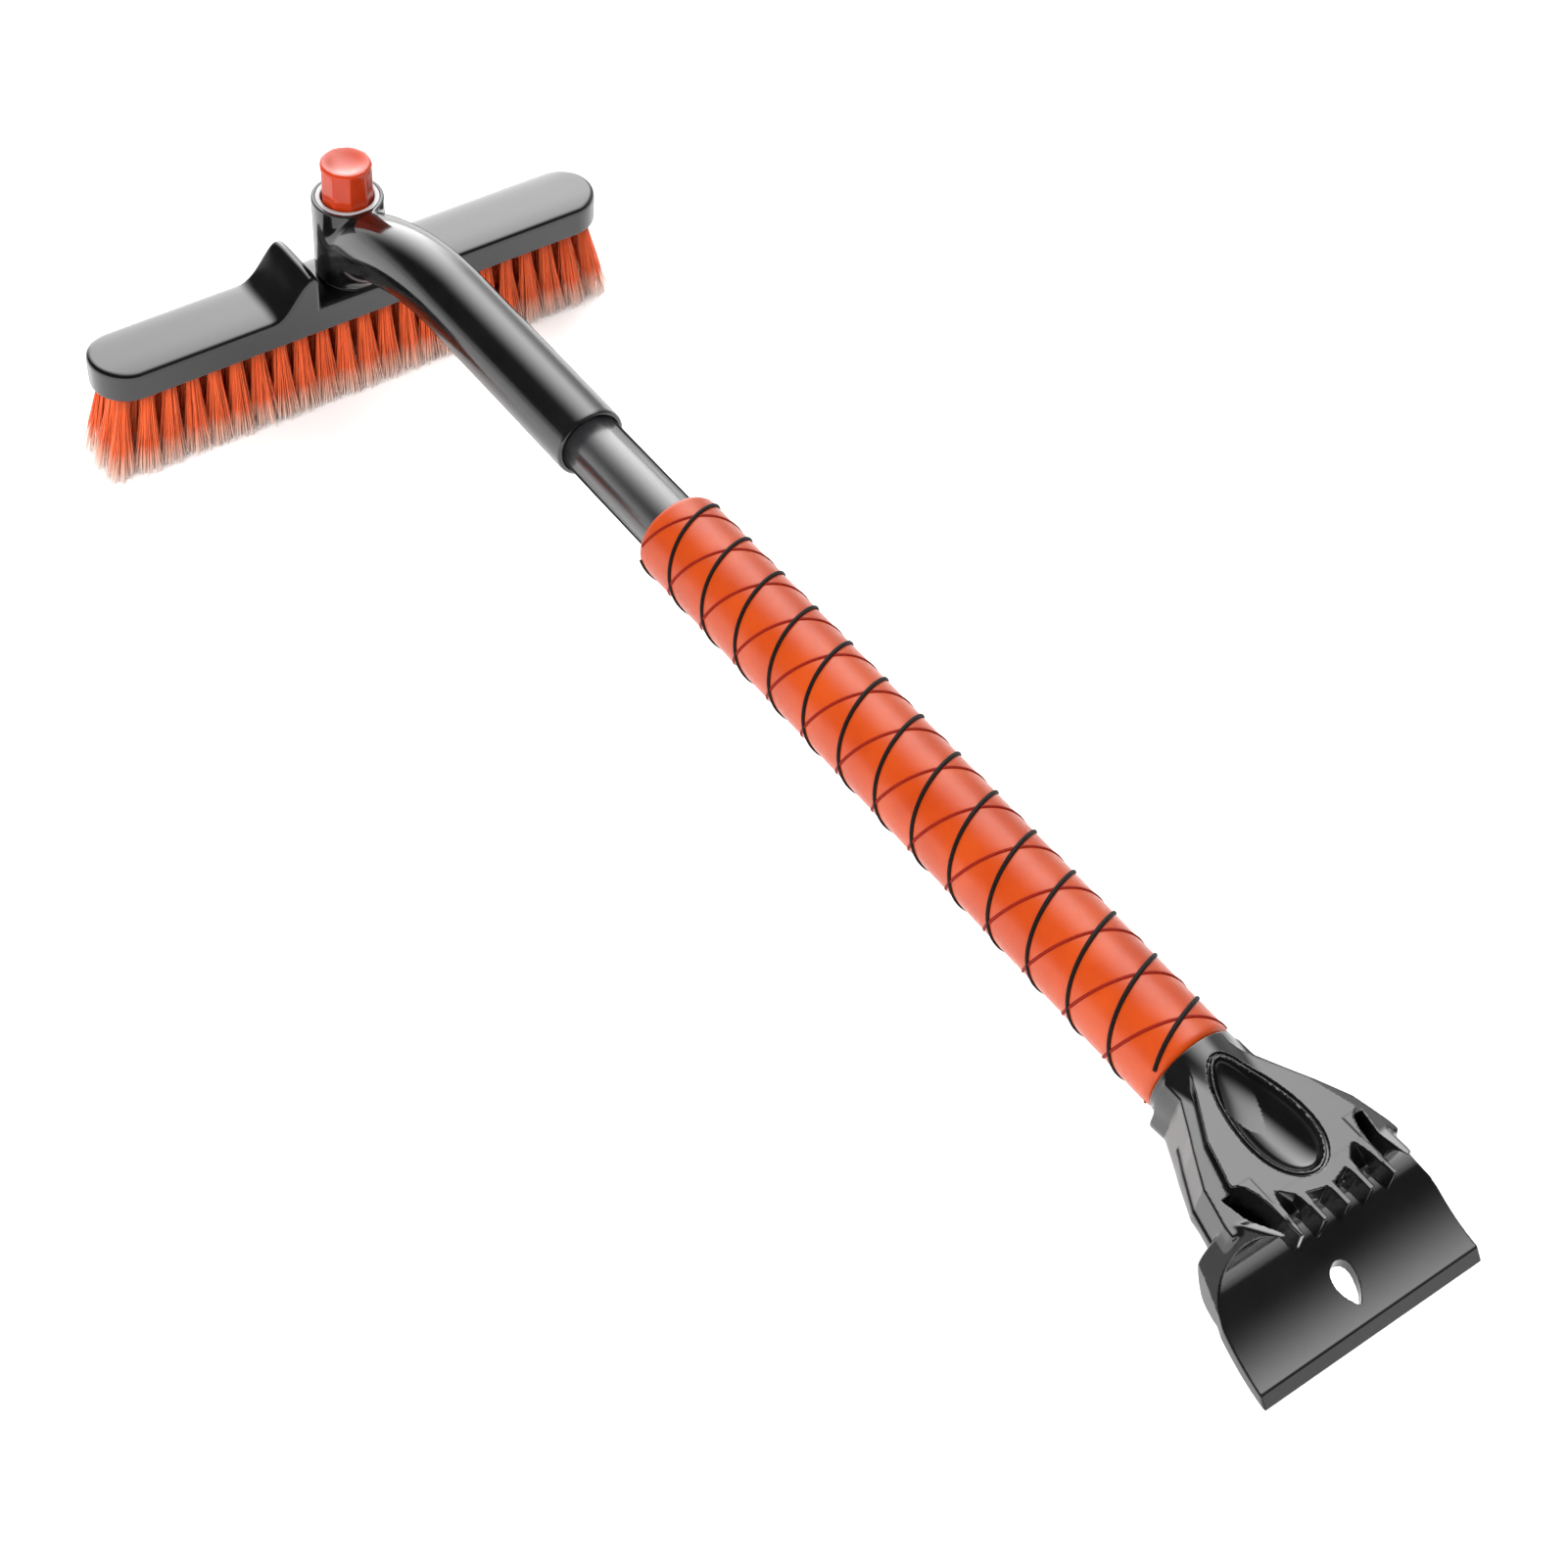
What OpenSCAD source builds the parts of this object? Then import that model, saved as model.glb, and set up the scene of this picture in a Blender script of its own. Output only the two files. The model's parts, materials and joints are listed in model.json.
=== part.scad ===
// Two-piece snow tool: a swivelling brush on a curved arm, and an ice scraper on a gripped shaft.
// Millimetres. +Z is up along the swivel axis, with the bristle tips on the plane Z = 0.
// +X runs along the shaft from the brush to the scraper blade, and the brush head lies along Y.

/* [Brush head] */
// Length of the brush head
brush_len = 257; // [230:1:290]
// Width of the brush head, front to back
brush_w = 33; // [33:0.5:36]
// Thickness of the brush head
brush_h = 15; // [15:0.5:17]
// Free length of the bristles
bristle_len = 43.5; // [35:0.5:60]
// Tufts in each of the three rows
tufts_per_row = 23; // [21:2:23]

/* [Swivel barrel] */
// Outer diameter of the barrel
barrel_d = 32; // [32:0.5:33]
// Height of the barrel above the brush head
barrel_h = 40.3; // [40.3:0.1:43]
// How far the release button stands above the barrel
button_proud = 18; // [14:0.5:22]
// Diameter of the release button
button_d = 22.8; // [21:0.2:23]

/* [Curved arm] */
// Outer diameter of the arm
arm_d = 31.2; // [30.6:0.2:31.6]
// Height of the shaft axis above the brush head
shaft_rise = 44.2; // [43:0.2:46]
// Radius of the arm's bend, along its centre line
arm_bend_r = 145; // [140:1:155]
// Distance from the swivel axis to the arm's open end
arm_reach = 194; // [180:1:220]

/* [Shaft and grip] */
// Outer diameter of the shaft tube
tube_d = 26.6; // [26:0.2:27]
// Wall thickness of the shaft tube
tube_wall = 1.2; // [1:0.1:1.6]
// Length of tube held in the arm
insert_len = 68; // [50:1:70]
// Length of bare tube between the arm and the grip
bare_len = 60; // [30:1:90]
// Length of the grip
grip_len = 304; // [240:2:340]
// Outer diameter of the grip
grip_d = 37.2; // [36:0.2:40]
// Crossings of the lacing along the grip
lacing_pitches = 14; // [10:1:16]

/* [Scraper head] */
// Length of the scraper head beyond the grip
scraper_len = 100; // [100:1:104]
// Width of the blade
blade_w = 100; // [98:1:102]

/* [Hidden] */
$fn = 96;

eps = 0.01;
cut = 1;            // how far a cutting shape runs past the face it cuts
far = 400;          // half size of the half-space cutters

// Heights, from the bristle tips
block_top = bristle_len + brush_h;
shaft_z = block_top + shaft_rise;
barrel_top = block_top + barrel_h;
button_top = barrel_top + button_proud;

// Brush block and base
block_x = -1;                       // the block sits a little behind the swivel axis
block_r = brush_w / 2;
edge_r = 2;
block_wall = 2.2;
top_wall = 4.5;
base_h = 6;
base_gap = 0.15;
ramp_near = 24;
ramp_flat = 3.5;
ramp_far = 50;
ramp_h = 15.6;
ramp_crown = 1.6;
end_margin = 9.7;                   // from the last tuft to the end of the head
tuft_pitch = (brush_len - 2 * end_margin) / (tufts_per_row - 1);
row_gap = 10;
tuft_root_r = 2.6;
tuft_tip_r = 4.7;
tuft_root_h = 4.4;
tuft_neck_r = 3;
tuft_margin = 0.7;
tuft_neck_drop = 0.9;
staple_h = 1.6;
staple_t = 0.5;
flare_all = 1.5;                    // lean that grows evenly towards the ends of the head, degrees
flare_end = 8.5;                    // extra lean of the last few tufts, degrees
flare_x = 3;                        // lean of the outer rows, degrees
screw_r = 1.4;
screw_head_r = 2.5;
screw_head_h = 1.8;
base_screw_len = 12.5;
post_screw_ring_r = 11.5;
post_screw_head_r = 2.2;
post_screw_bite = 3.2;
boss_r = 3.4;
base_screw_cols = [-9.5, -4.5, 4.5, 9.5];

// Swivel and lock
fit = 0.06;
post_r = 9;
post_neck_r = 7;
post_flange_r = 14;
post_flange_h = 2.6;
post_flange_half = block_r - block_wall - 1.2;      // the flange is cut straight front and back
washer_h = 0.8;
edge_of_washer = 1.5;               // how far the thrust washer stays inside the barrel
washer_outer_r = 11.8;
snap_gap = 3;
snap_outer_r = 9;
barrel_r = barrel_d / 2;
barrel_bottom = block_top + washer_h + 0.1;
barrel_floor_top = block_top + 6.9;
cavity_r = 13;
cap_ring_r = 14.2;
cap_ring_h = 4.3;
cap_gap_r = button_d / 2 + 0.45;
retainer_z = barrel_floor_top + 0.1;
retainer_h = 1.2;
snap_z = retainer_z + retainer_h + 0.05;
snap_h = 1;
snap_groove_r = 6;
gear_z = block_top + 22;
gear_h = 4;
gear_hex_r = 5;
gear_screw_bite = 7;
gear_screw_head_r = 6.5;
gear_screw_head_h = 2.2;
hex_key_r = 1.6;
index_teeth = 12;                   // the head locks every 30 degrees
gear_root_r = 8.3;
gear_tip_r = 10.2;
gear_tooth_w = 1.9;
ring_bore_r = 10.6;
ring_tooth_r = 8.8;
ring_tooth_w = 1.9;
slot_w = 2.2;
slot_rise = 12;
ring_outer_r = 12.8;
ring_lug_r = 14.1;
slot_r = 14.4;
lock_travel = 4.5;
ring_z = gear_z - 0.1;
ring_h = gear_h + 0.2;
wire_r = 0.6;
spring_r = 10.2;
spring_turns = 5;
flange_r = 12.7;
flange_z = barrel_top - cap_ring_h - 5.1;
flange_h = 5;
button_cavity_r = 8.9;
button_wall = 3.2;

// Arm
arm_r = arm_d / 2;
arm_bend = 39.4;                    // how far the arm bends down to the barrel, degrees
bend_x = arm_bend_r * sin(arm_bend);
bend_z = shaft_z - arm_bend_r;
socket_gap = 0.05;
socket_floor = arm_reach - insert_len - 2;
ramp_sweep_r = 23.2;
ramp_sweep_h = ramp_h + 1.2;
finger_r = 11.5;
finger_drop = 22;
finger_first = 0.8;
finger_step = 12.2;
finger_count = 3;

// Shaft and grip
tube_r = tube_d / 2;
tube_start = arm_reach - insert_len;
grip_start = arm_reach + bare_len;
grip_end = grip_start + grip_len;
grip_r = grip_d / 2;
cover_t = 1.2;
cover_round = 3;
lace_h = 0.5;
lace_w = 1.5;
lace_steps = 30;                    // straight pieces in one turn of the lacing
lace_margin = 3;
lacing_shift = 9.8;                 // moves the crossings towards the arm
spigot_len = 45;
plug_len = 14;
plug_head_h = 1.6;
pin_r = 2;
pin_from_end = 22;

// Scraper head: X measured from the grip end and Z from the shaft axis
neck_r = 18.3;                      // the round neck narrows to neck_end_r over neck_len
neck_end_r = 14;
neck_len = 34;
deck_z = 14;
shelf_z = 10;
body_start = 3;
body_end = 60;
body_bottom = -11;
body_bottom_start = -17.4;
body_level_x = 46;                  // the underside slopes as far as this
body_cone_r = 41.7;                 // rounds off the lower corners of the body
// Half outlines seen from above: [X, half width]
shelf_half = [
    [body_start, 16.5], [11, 16.8], [23, 23.5], [28, 26.5], [41, 33.5], [55, 37], [body_end, 37.5]
];
deck_half = [[4, 8], [14, 13.4], [30, 22.8], [46.5, 28], [49, 25], [55.5, 17.4], [61, 12], [63.7, 3]];
tooth_tip_x = 73;
tooth_root_x = 49;
outer_tooth = [
    [44, 27.5], [46.5, 28], [49.5, 24.5], [54, 22.8], [60, 22], [tooth_tip_x, 21.6],
    [tooth_tip_x, 20.2], [61, 18.9], [55, 17.2], [44, 17]
];
tooth_pitch = 10.4;
tooth_w = 2.2;
tooth_low = 3.5;
gap_x = 50;                         // the gaps between the teeth slope down from here
gap_z = 20.5;
gap_low = -4;
gap_half = 21;
pocket_half = [20.5, 31.3];         // the pockets beside the outer teeth
pocket_tip_half = 26.3;
pocket_x = 47.5;
pocket_z = 2;
lip_x = 56;                         // the lips of the curl rise from the shelf here
lip_tip_x = 71.5;
lip_slope = 0.53;
end_half = 31;                      // half width of the curl at the deck's height
end_lean = 0.62;                    // how much it widens for each millimetre down
curl_x = 76;
curl_z = -2;
curl_r = 11.5;
curl_outer_r = 22;
heel_z = -19.4;
blade_plan = [[54, 0.88], [59, 0.9], [67, 0.94], [75, 0.98], [scraper_len + cut, 1]];   // [X, share]
blade_t = 4.2;
blade_start = 42;                   // slope of the blade where it leaves the curl, degrees
blade_bend_r = 61.8;
bend_at = [curl_x, curl_z] + (blade_bend_r - curl_r) * [sin(blade_start), cos(blade_start)];
bend_start = curl_x - curl_r * sin(blade_start);
trough_r = 17;                      // the trough behind the blade touches the blade's bend
trough_at = bend_at - (blade_bend_r - trough_r) * [sin(blade_start), cos(blade_start)];
blade_low = bend_at[1] - blade_bend_r - blade_t + 0.7;
edge_bevel = 0.75;                  // run of the bevelled edge for each millimetre of its height
hollow_x = 32.5;
hollow_lift = 3.1;
hollow_r = 11.9;
hollow_bow_r = 38.5;
hole_x = 81;
hole_r = 4.7;
hole_bow_r = 12.5;

// ---------- shared shapes ----------

// A bar with round ends lying along Y, from z = 0 to z = h
module stadium(len, r, h) {
    linear_extrude(h) {
        square([2 * r, len - 2 * r], center = true);
        for (side = [-1, 1])
            translate([0, side * (len / 2 - r)]) circle(r);
    }
}

// Half section of a bar with a rounded upper edge
module round_edge_section(r, h, round_r) {
    square([r, h - round_r]);
    square([r - round_r, h]);
    translate([r - round_r, h - round_r]) intersection() {
        circle(round_r);
        square(round_r);
    }
}

// A bar with round ends along Y whose upper edge is rounded all the way round
module rounded_bar(len, r, h, round_r) {
    straight = len - 2 * r;
    rotate([90, 0, 0]) translate([0, 0, -straight / 2]) linear_extrude(straight) {
        round_edge_section(r, h, round_r);
        mirror([1, 0]) round_edge_section(r, h, round_r);
    }
    for (side = [-1, 1])
        translate([0, side * straight / 2, 0]) rotate_extrude() round_edge_section(r, h, round_r);
}

// A cylinder along +X starting at x
module x_rod(x, len, r) {
    translate([x, 0, shaft_z]) rotate([0, 90, 0]) cylinder(h = len, r = r);
}

// A flat ring around the swivel axis
module z_ring(z, h, inner, outer) {
    translate([0, 0, z]) difference() {
        cylinder(h = h, r = outer);
        translate([0, 0, -cut]) cylinder(h = h + 2 * cut, r = inner);
    }
}

// Everything below a height
module below(z) {
    translate([-far, -far, z - 2 * far]) cube([4 * far, 2 * far, 2 * far]);
}

// ---------- brush head ----------

function tuft_side(i) = 2 * i / (tufts_per_row - 1) - 1;        // -1 at one end, 1 at the other
function tuft_y(i) = tuft_side(i) * (tufts_per_row - 1) / 2 * tuft_pitch;
function tuft_lean(i) = tuft_side(i) * (flare_all + flare_end * pow(tuft_side(i), 4));
function end_reach(i) =         // how far across the head a tuft can stand near the round ends
    let (past = max(0, abs(tuft_y(i)) - (brush_len / 2 - block_r)))
    sqrt(pow(block_r - block_wall - tuft_root_r - tuft_margin, 2) - past * past);
function tuft_x(row, i) = row == 0 ? 0 : block_x + row * min(row_gap, end_reach(i));

module tuft_places(row) {
    for (i = [0 : tufts_per_row - 1])
        translate([tuft_x(row, i), tuft_y(i), 0]) children();
}

module base_screw_places() {
    for (col = base_screw_cols, side = [-1, 1])
        translate([row_gap / 2 * side, col * tuft_pitch, 0]) children();
}

module post_screw_places() {
    for (a = [45 : 90 : 315])
        rotate(a) translate([post_screw_ring_r, 0, 0]) children();
}

// Ramp beside the barrel: a face towards the barrel and a hollow slope away from it
module ramp() {
    slope_len = ramp_far - ramp_near - ramp_flat;
    slope_r = (slope_len * slope_len + ramp_h * ramp_h) / (2 * ramp_h);
    crown_r = (block_r * block_r + ramp_crown * ramp_crown) / (2 * ramp_crown);
    intersection() {
        translate([block_x + block_r, 0, block_top - edge_r]) rotate([90, 0, -90])
            linear_extrude(2 * block_r) difference() {
                translate([ramp_near, 0]) square([ramp_far - ramp_near, ramp_h + edge_r]);
                translate([ramp_far, edge_r + slope_r]) circle(slope_r, $fn = 180);
            }
        translate([block_x, 0, block_top + ramp_h - crown_r]) rotate([90, 0, 0])
            cylinder(h = ramp_far + cut, r = crown_r, $fn = 180);
    }
}

module brush_block() {
    color([0.07, 0.07, 0.08]) difference() {
        union() {
            translate([block_x, 0, bristle_len]) rounded_bar(brush_len, block_r, brush_h, edge_r);
            ramp();
        }
        difference() {
            translate([block_x, 0, bristle_len - cut])
                stadium(brush_len - 2 * block_wall, block_r - block_wall, brush_h - top_wall + cut);
            translate([0, 0, bristle_len + base_h + base_gap]) base_screw_places()
                cylinder(h = brush_h, r = boss_r);
        }
        translate([0, 0, bristle_len]) base_screw_places()
            cylinder(h = brush_h - 2, r = screw_r + fit);
        translate([0, 0, bristle_len]) cylinder(h = 2 * brush_h, r = post_r + fit);
        translate([0, 0, block_top - top_wall - cut]) post_screw_places()
            cylinder(h = post_screw_bite + 0.3 + cut, r = screw_r + fit);
    }
}

module bristle_base() {
    color([0.09, 0.09, 0.1]) difference() {
        translate([block_x, 0, bristle_len])
            stadium(brush_len - 2 * block_wall - 2 * base_gap, block_r - block_wall - base_gap, base_h);
        for (row = [-1 : 1])
            translate([0, 0, bristle_len - cut]) tuft_places(row)
                cylinder(h = tuft_root_h + 0.1 + cut, r = tuft_root_r + fit);
        translate([0, 0, bristle_len - cut]) base_screw_places() {
            cylinder(h = base_h + 2 * cut, r = screw_r + fit);
            cylinder(h = screw_head_h + cut + 0.1, r = screw_head_r + 0.1);
        }
    }
}

// One row of tufts, leaning outwards towards the ends, cut level at the tips
module tuft_row(row) {
    neck_z = bristle_len - tuft_neck_drop;
    difference() {
        for (i = [0 : tufts_per_row - 1])
            translate([tuft_x(row, i), tuft_y(i), neck_z]) {
                translate([0, 0, -1]) cylinder(h = tuft_root_h + tuft_neck_drop + 1, r = tuft_root_r);
                rotate([tuft_lean(i), -flare_x * row, 0]) translate([0, 0, -neck_z - 2])
                    cylinder(h = neck_z + 2, r1 = tuft_tip_r, r2 = tuft_neck_r);
            }
        below(0);
        tuft_places(row) translate([0, 0, bristle_len + tuft_root_h])
            cube([4 * tuft_root_r, staple_t + 0.1, 2 * staple_h + 0.1], center = true);
    }
}

module front_tufts() { color([0.9, 0.3, 0.15]) tuft_row(1); }
module middle_tufts() { color([0.9, 0.3, 0.15]) tuft_row(0); }
module rear_tufts() { color([0.9, 0.3, 0.15]) tuft_row(-1); }

// Flat wire anchors, one driven across the root of each tuft
module tuft_staples() {
    color("silver") for (row = [-1 : 1])
        tuft_places(row) translate([0, 0, bristle_len + tuft_root_h - staple_h / 2])
            cube([2 * tuft_root_r - 0.4, staple_t, staple_h], center = true);
}

module screw(len) {
    cylinder(h = screw_head_h, r = screw_head_r);
    cylinder(h = len, r = screw_r);
}

module base_screws() {
    color("silver") translate([0, 0, bristle_len + 0.05]) base_screw_places() screw(base_screw_len);
}

// ---------- swivel post ----------

module pivot_post() {
    flange_top = block_top - top_wall;
    color([0.2, 0.2, 0.22]) difference() {
        union() {
            translate([0, 0, flange_top - post_flange_h]) intersection() {
                cylinder(h = post_flange_h, r = post_flange_r);
                cube([2 * post_flange_half, 4 * post_flange_r, 4 * post_flange_h], center = true);
            }
            translate([0, 0, flange_top - eps]) cylinder(h = retainer_z - flange_top + eps, r = post_r);
            translate([0, 0, retainer_z - eps]) cylinder(h = gear_z - retainer_z + eps, r = post_neck_r);
            translate([0, 0, gear_z - eps]) cylinder(h = gear_h, r = gear_hex_r, $fn = 6);
        }
        z_ring(snap_z, snap_h + 0.1, snap_groove_r, post_r);
        translate([0, 0, gear_z - gear_screw_bite - cut])
            cylinder(h = gear_screw_bite + gear_h + 2 * cut, r = screw_r + fit);
        translate([0, 0, flange_top - post_flange_h - cut]) post_screw_places()
            cylinder(h = post_flange_h + 2 * cut, r = screw_r + fit);
    }
}

module post_screws() {
    color("silver") translate([0, 0, block_top - top_wall - post_flange_h - screw_head_h])
        post_screw_places() {
            cylinder(h = screw_head_h, r = post_screw_head_r);
            cylinder(h = screw_head_h + post_flange_h + post_screw_bite, r = screw_r);
        }
}

module thrust_washer() {
    color([0.85, 0.85, 0.82]) z_ring(block_top, washer_h, post_r + fit, barrel_r - edge_of_washer);
}

module retaining_washer() {
    color("silver") z_ring(retainer_z + 0.02, retainer_h, post_neck_r + fit, washer_outer_r);
}

module snap_ring() {
    color("dimgray") difference() {
        z_ring(snap_z + 0.05, snap_h, snap_groove_r + 0.02, snap_outer_r);
        translate([0, -snap_gap / 2, snap_z - cut]) cube([2 * post_r, snap_gap, 4 * snap_h]);
    }
}

// Teeth around a circle, each a bar from one radius to another
module teeth(inner, outer, width, h) {
    for (i = [0 : index_teeth - 1])
        rotate(360 * i / index_teeth) translate([inner, -width / 2, 0]) cube([outer - inner, width, h]);
}

module index_gear() {
    color("silver") translate([0, 0, gear_z]) difference() {
        union() {
            cylinder(h = gear_h, r = gear_root_r);
            rotate(180 / index_teeth) teeth(gear_root_r - 1, gear_tip_r, gear_tooth_w, gear_h);
        }
        translate([0, 0, -cut]) cylinder(h = gear_h + 2 * cut, r = gear_hex_r + fit, $fn = 6);
    }
}

module gear_screw() {
    length = gear_screw_bite + gear_h + 0.05;
    color("silver") translate([0, 0, gear_z - gear_screw_bite]) {
        cylinder(h = length, r = screw_r);
        translate([0, 0, length]) difference() {
            cylinder(h = gear_screw_head_h, r = gear_screw_head_r);
            translate([0, 0, gear_screw_head_h / 2])
                cylinder(h = gear_screw_head_h, r = hex_key_r, $fn = 6);
        }
    }
}

// ---------- lock and button ----------

module lock_ring() {
    color([0.3, 0.3, 0.32]) translate([0, 0, ring_z]) {
        difference() {
            union() {
                cylinder(h = ring_h, r = ring_outer_r);
                teeth(ring_outer_r - 1, ring_lug_r, ring_tooth_w, ring_h);
            }
            translate([0, 0, -cut]) cylinder(h = ring_h + 2 * cut, r = ring_bore_r);
        }
        teeth(ring_tooth_r, ring_bore_r + 0.5, ring_tooth_w, ring_h);
    }
}

// Round wire spring standing on the retaining washer, with closed ends
module lock_spring() {
    z0 = retainer_z + retainer_h + 0.05 + wire_r;
    z1 = ring_z - wire_r - 0.05;
    steps = 18;
    sides = 8;
    count = spring_turns * steps;
    closed = 0.7;                   // turns of each end that lie flat
    climb = 0.001;                  // keeps the first turn from meeting itself
    function wire_point(i, j) =
        let (a = 360 * i / steps,
             t = min(1, max(0, (i - steps * closed) / (count - 2 * steps * closed))),
             b = 360 * j / sides,
             r = spring_r + wire_r * cos(b))
        [r * cos(a), r * sin(a), z0 + (z1 - z0) * t + climb * min(i, steps - 1) + wire_r * sin(b)];
    color("silver") polyhedron(
        points = [for (i = [0 : count], j = [0 : sides - 1]) wire_point(i, j)],
        faces = concat(
            [[for (j = [0 : sides - 1]) j]],
            [[for (j = [sides - 1 : -1 : 0]) count * sides + j]],
            [for (i = [0 : count - 1], j = [0 : sides - 1])
                let (k = (j + 1) % sides)
                [i * sides + j, (i + 1) * sides + j, (i + 1) * sides + k, i * sides + k]]
        )
    );
}

module release_button() {
    dish_r = 24;
    dish_depth = 1.8;
    top_round = 1.5;
    skirt_r = flange_r - 0.6;
    r = button_d / 2;
    color([0.95, 0.25, 0.1]) difference() {
        union() {
            translate([0, 0, flange_z + eps]) rotate_extrude()
                round_edge_section(r, button_top - flange_z - eps, top_round);
            translate([0, 0, flange_z]) cylinder(h = flange_h, r = flange_r);
            translate([0, 0, ring_z + ring_h + 0.05])
                cylinder(h = flange_z - ring_z - ring_h, r = skirt_r);
        }
        translate([0, 0, ring_z]) cylinder(h = button_top - button_wall - ring_z, r = button_cavity_r);
        translate([0, 0, ring_z]) cylinder(h = gear_h + lock_travel + 0.5, r = ring_bore_r);
        translate([0, 0, button_top - dish_depth + dish_r]) sphere(dish_r, $fn = 180);
    }
}

// ---------- arm ----------

// The round arm: a bend that rises from the barrel and a straight socket
module arm_outline() {
    x_rod(bend_x, arm_reach - bend_x, arm_r);
    translate([bend_x, 0, bend_z]) rotate([90, 0, 0]) rotate([0, 0, 90])
        rotate_extrude(angle = arm_bend, $fn = 180) translate([arm_bend_r, 0]) circle(arm_r);
    translate([0, 0, barrel_bottom]) cylinder(h = barrel_top - barrel_bottom, r = barrel_r);
}

module finger_hollows() {
    for (i = [0 : finger_count - 1])
        translate([bend_x, 0, bend_z]) rotate([0, -(finger_first + finger_step * i), 0])
            translate([0, 0, arm_bend_r - finger_drop]) rotate([90, 0, 0])
                cylinder(h = 2 * arm_d, r = finger_r, center = true);
}

module arm_casting() {
    color([0.08, 0.08, 0.09]) difference() {
        arm_outline();
        below(barrel_bottom);
        z_ring(block_top - cut, ramp_sweep_h + cut, ramp_sweep_r, ramp_far + 10);
        finger_hollows();
        translate([0, 0, block_top - cut]) cylinder(h = barrel_h, r = post_r + fit);
        translate([0, 0, barrel_floor_top]) cylinder(h = barrel_h, r = cavity_r);
        translate([0, 0, block_top + slot_rise])
            teeth(cavity_r - 1, slot_r, slot_w, barrel_h - cap_ring_h - slot_rise);
        translate([0, 0, barrel_top - cap_ring_h]) cylinder(h = cap_ring_h + cut, r = cap_ring_r);
        x_rod(socket_floor, insert_len + 2 + cut, tube_r + socket_gap);
    }
}

module barrel_cap_ring() {
    color([0.35, 0.35, 0.36]) z_ring(barrel_top - cap_ring_h, cap_ring_h, cap_gap_r, cap_ring_r - 0.03);
}

// ---------- shaft and grip ----------

module shaft_tube() {
    color([0.12, 0.12, 0.13]) difference() {
        x_rod(tube_start, grip_end - tube_start - 0.5, tube_r);
        x_rod(tube_start - cut, grip_end, tube_r - tube_wall);
        translate([grip_end - pin_from_end, 0, shaft_z])
            cylinder(h = 2 * tube_d, r = pin_r + 0.02, center = true);
    }
}

module tube_end_plug() {
    r = tube_r - tube_wall - 0.05;
    color([0.1, 0.1, 0.11]) {
        x_rod(tube_start, plug_len, r);
        translate([tube_start, 0, shaft_z]) rotate([0, -90, 0]) rotate_extrude()
            round_edge_section(tube_r, plug_head_h, 0.75 * plug_head_h);
    }
}

module foam_sleeve() {
    color([0.75, 0.6, 0.45]) difference() {
        x_rod(grip_start + cover_t, grip_len - 2 * cover_t, grip_r - cover_t);
        x_rod(grip_start - cut, grip_len + 2 * cut, tube_r + 0.02);
    }
}

// Soft cover that turns in over both ends of the foam
module grip_cover() {
    color([0.95, 0.35, 0.15]) difference() {
        translate([grip_start, 0, shaft_z]) rotate([0, 90, 0]) rotate_extrude() intersection() {
            translate([0, -grip_len]) square([grip_r, 2 * grip_len]);
            union() {
                translate([0, cover_round]) square([grip_r, grip_len - 2 * cover_round]);
                square([grip_r - cover_round, grip_len]);
                for (y = [cover_round, grip_len - cover_round])
                    translate([grip_r - cover_round, y]) circle(cover_round);
            }
        }
        x_rod(grip_start + cover_t - 0.02, grip_len - 2 * cover_t + 0.04, grip_r - cover_t + 0.02);
        x_rod(grip_start - cut, grip_len + 2 * cut, tube_r + 0.02);
    }
}

// One strand of lacing wound round the grip; hand is 1 or -1, and phase is its starting angle
module lace(r, hand, phase) {
    run = grip_len - 2 * lace_margin;
    turns = lacing_pitches / 2 * run / grip_len;
    steps = round(turns * lace_steps);
    chord = cos(180 / lace_steps);
    lean = atan(grip_len / (lacing_pitches / 2) / (2 * PI * r));
    function lace_point(i, j) =
        let (a = phase + hand * 360 * turns * i / steps,
             low = (j == 0 || j == 3),
             rr = (r + (low ? 0 : lace_h)) / chord,
             x = run * i / steps + (j < 2 ? -1 : 1) * lace_w / 2 / cos(lean))
        [x, rr * sin(a), rr * cos(a)];
    body = [for (i = [0 : steps - 1], j = [0 : 3])
        [i * 4 + j, (i + 1) * 4 + j, (i + 1) * 4 + (j + 1) % 4, i * 4 + (j + 1) % 4]];
    ends = [[3, 2, 1, 0], [for (j = [0 : 3]) steps * 4 + j]];
    faces = concat(ends, [for (f = body) [f[3], f[2], f[1], f[0]]]);
    translate([grip_start + lace_margin, 0, shaft_z])
        polyhedron(
            points = [for (i = [0 : steps], j = [0 : 3]) lace_point(i, j)],
            faces = hand > 0 ? faces : [for (f = faces) [for (k = [len(f) - 1 : -1 : 0]) f[k]]]
        );
}

function lace_start(hand) = hand * 360 * lacing_pitches / 2 * (lacing_shift + lace_margin) / grip_len;

module inner_lacing() {
    color([0.35, 0.05, 0.03]) for (half_turn = [0, 180])
        lace(grip_r + 0.02, 1, lace_start(1) + half_turn);
}

module outer_lacing() {
    inner_top = (grip_r + 0.02 + lace_h) / cos(180 / lace_steps);
    color([0.06, 0.05, 0.05]) for (half_turn = [0, 180])
        lace(inner_top + 0.03, -1, lace_start(-1) + half_turn);
}

// ---------- scraper head ----------

// Both halves of an outline given on one side of the middle
function mirrored(half) = concat(half, [for (i = [len(half) - 1 : -1 : 0]) [half[i][0], -half[i][1]]]);

// A side view, drawn in X and Z, made into a solid across the head
module across(half) {
    rotate([90, 0, 0]) translate([0, 0, -half]) linear_extrude(2 * half) children();
}

// A plan, made into a solid between two heights
module between(low, high) {
    translate([0, 0, low]) linear_extrude(high - low) children();
}

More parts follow.
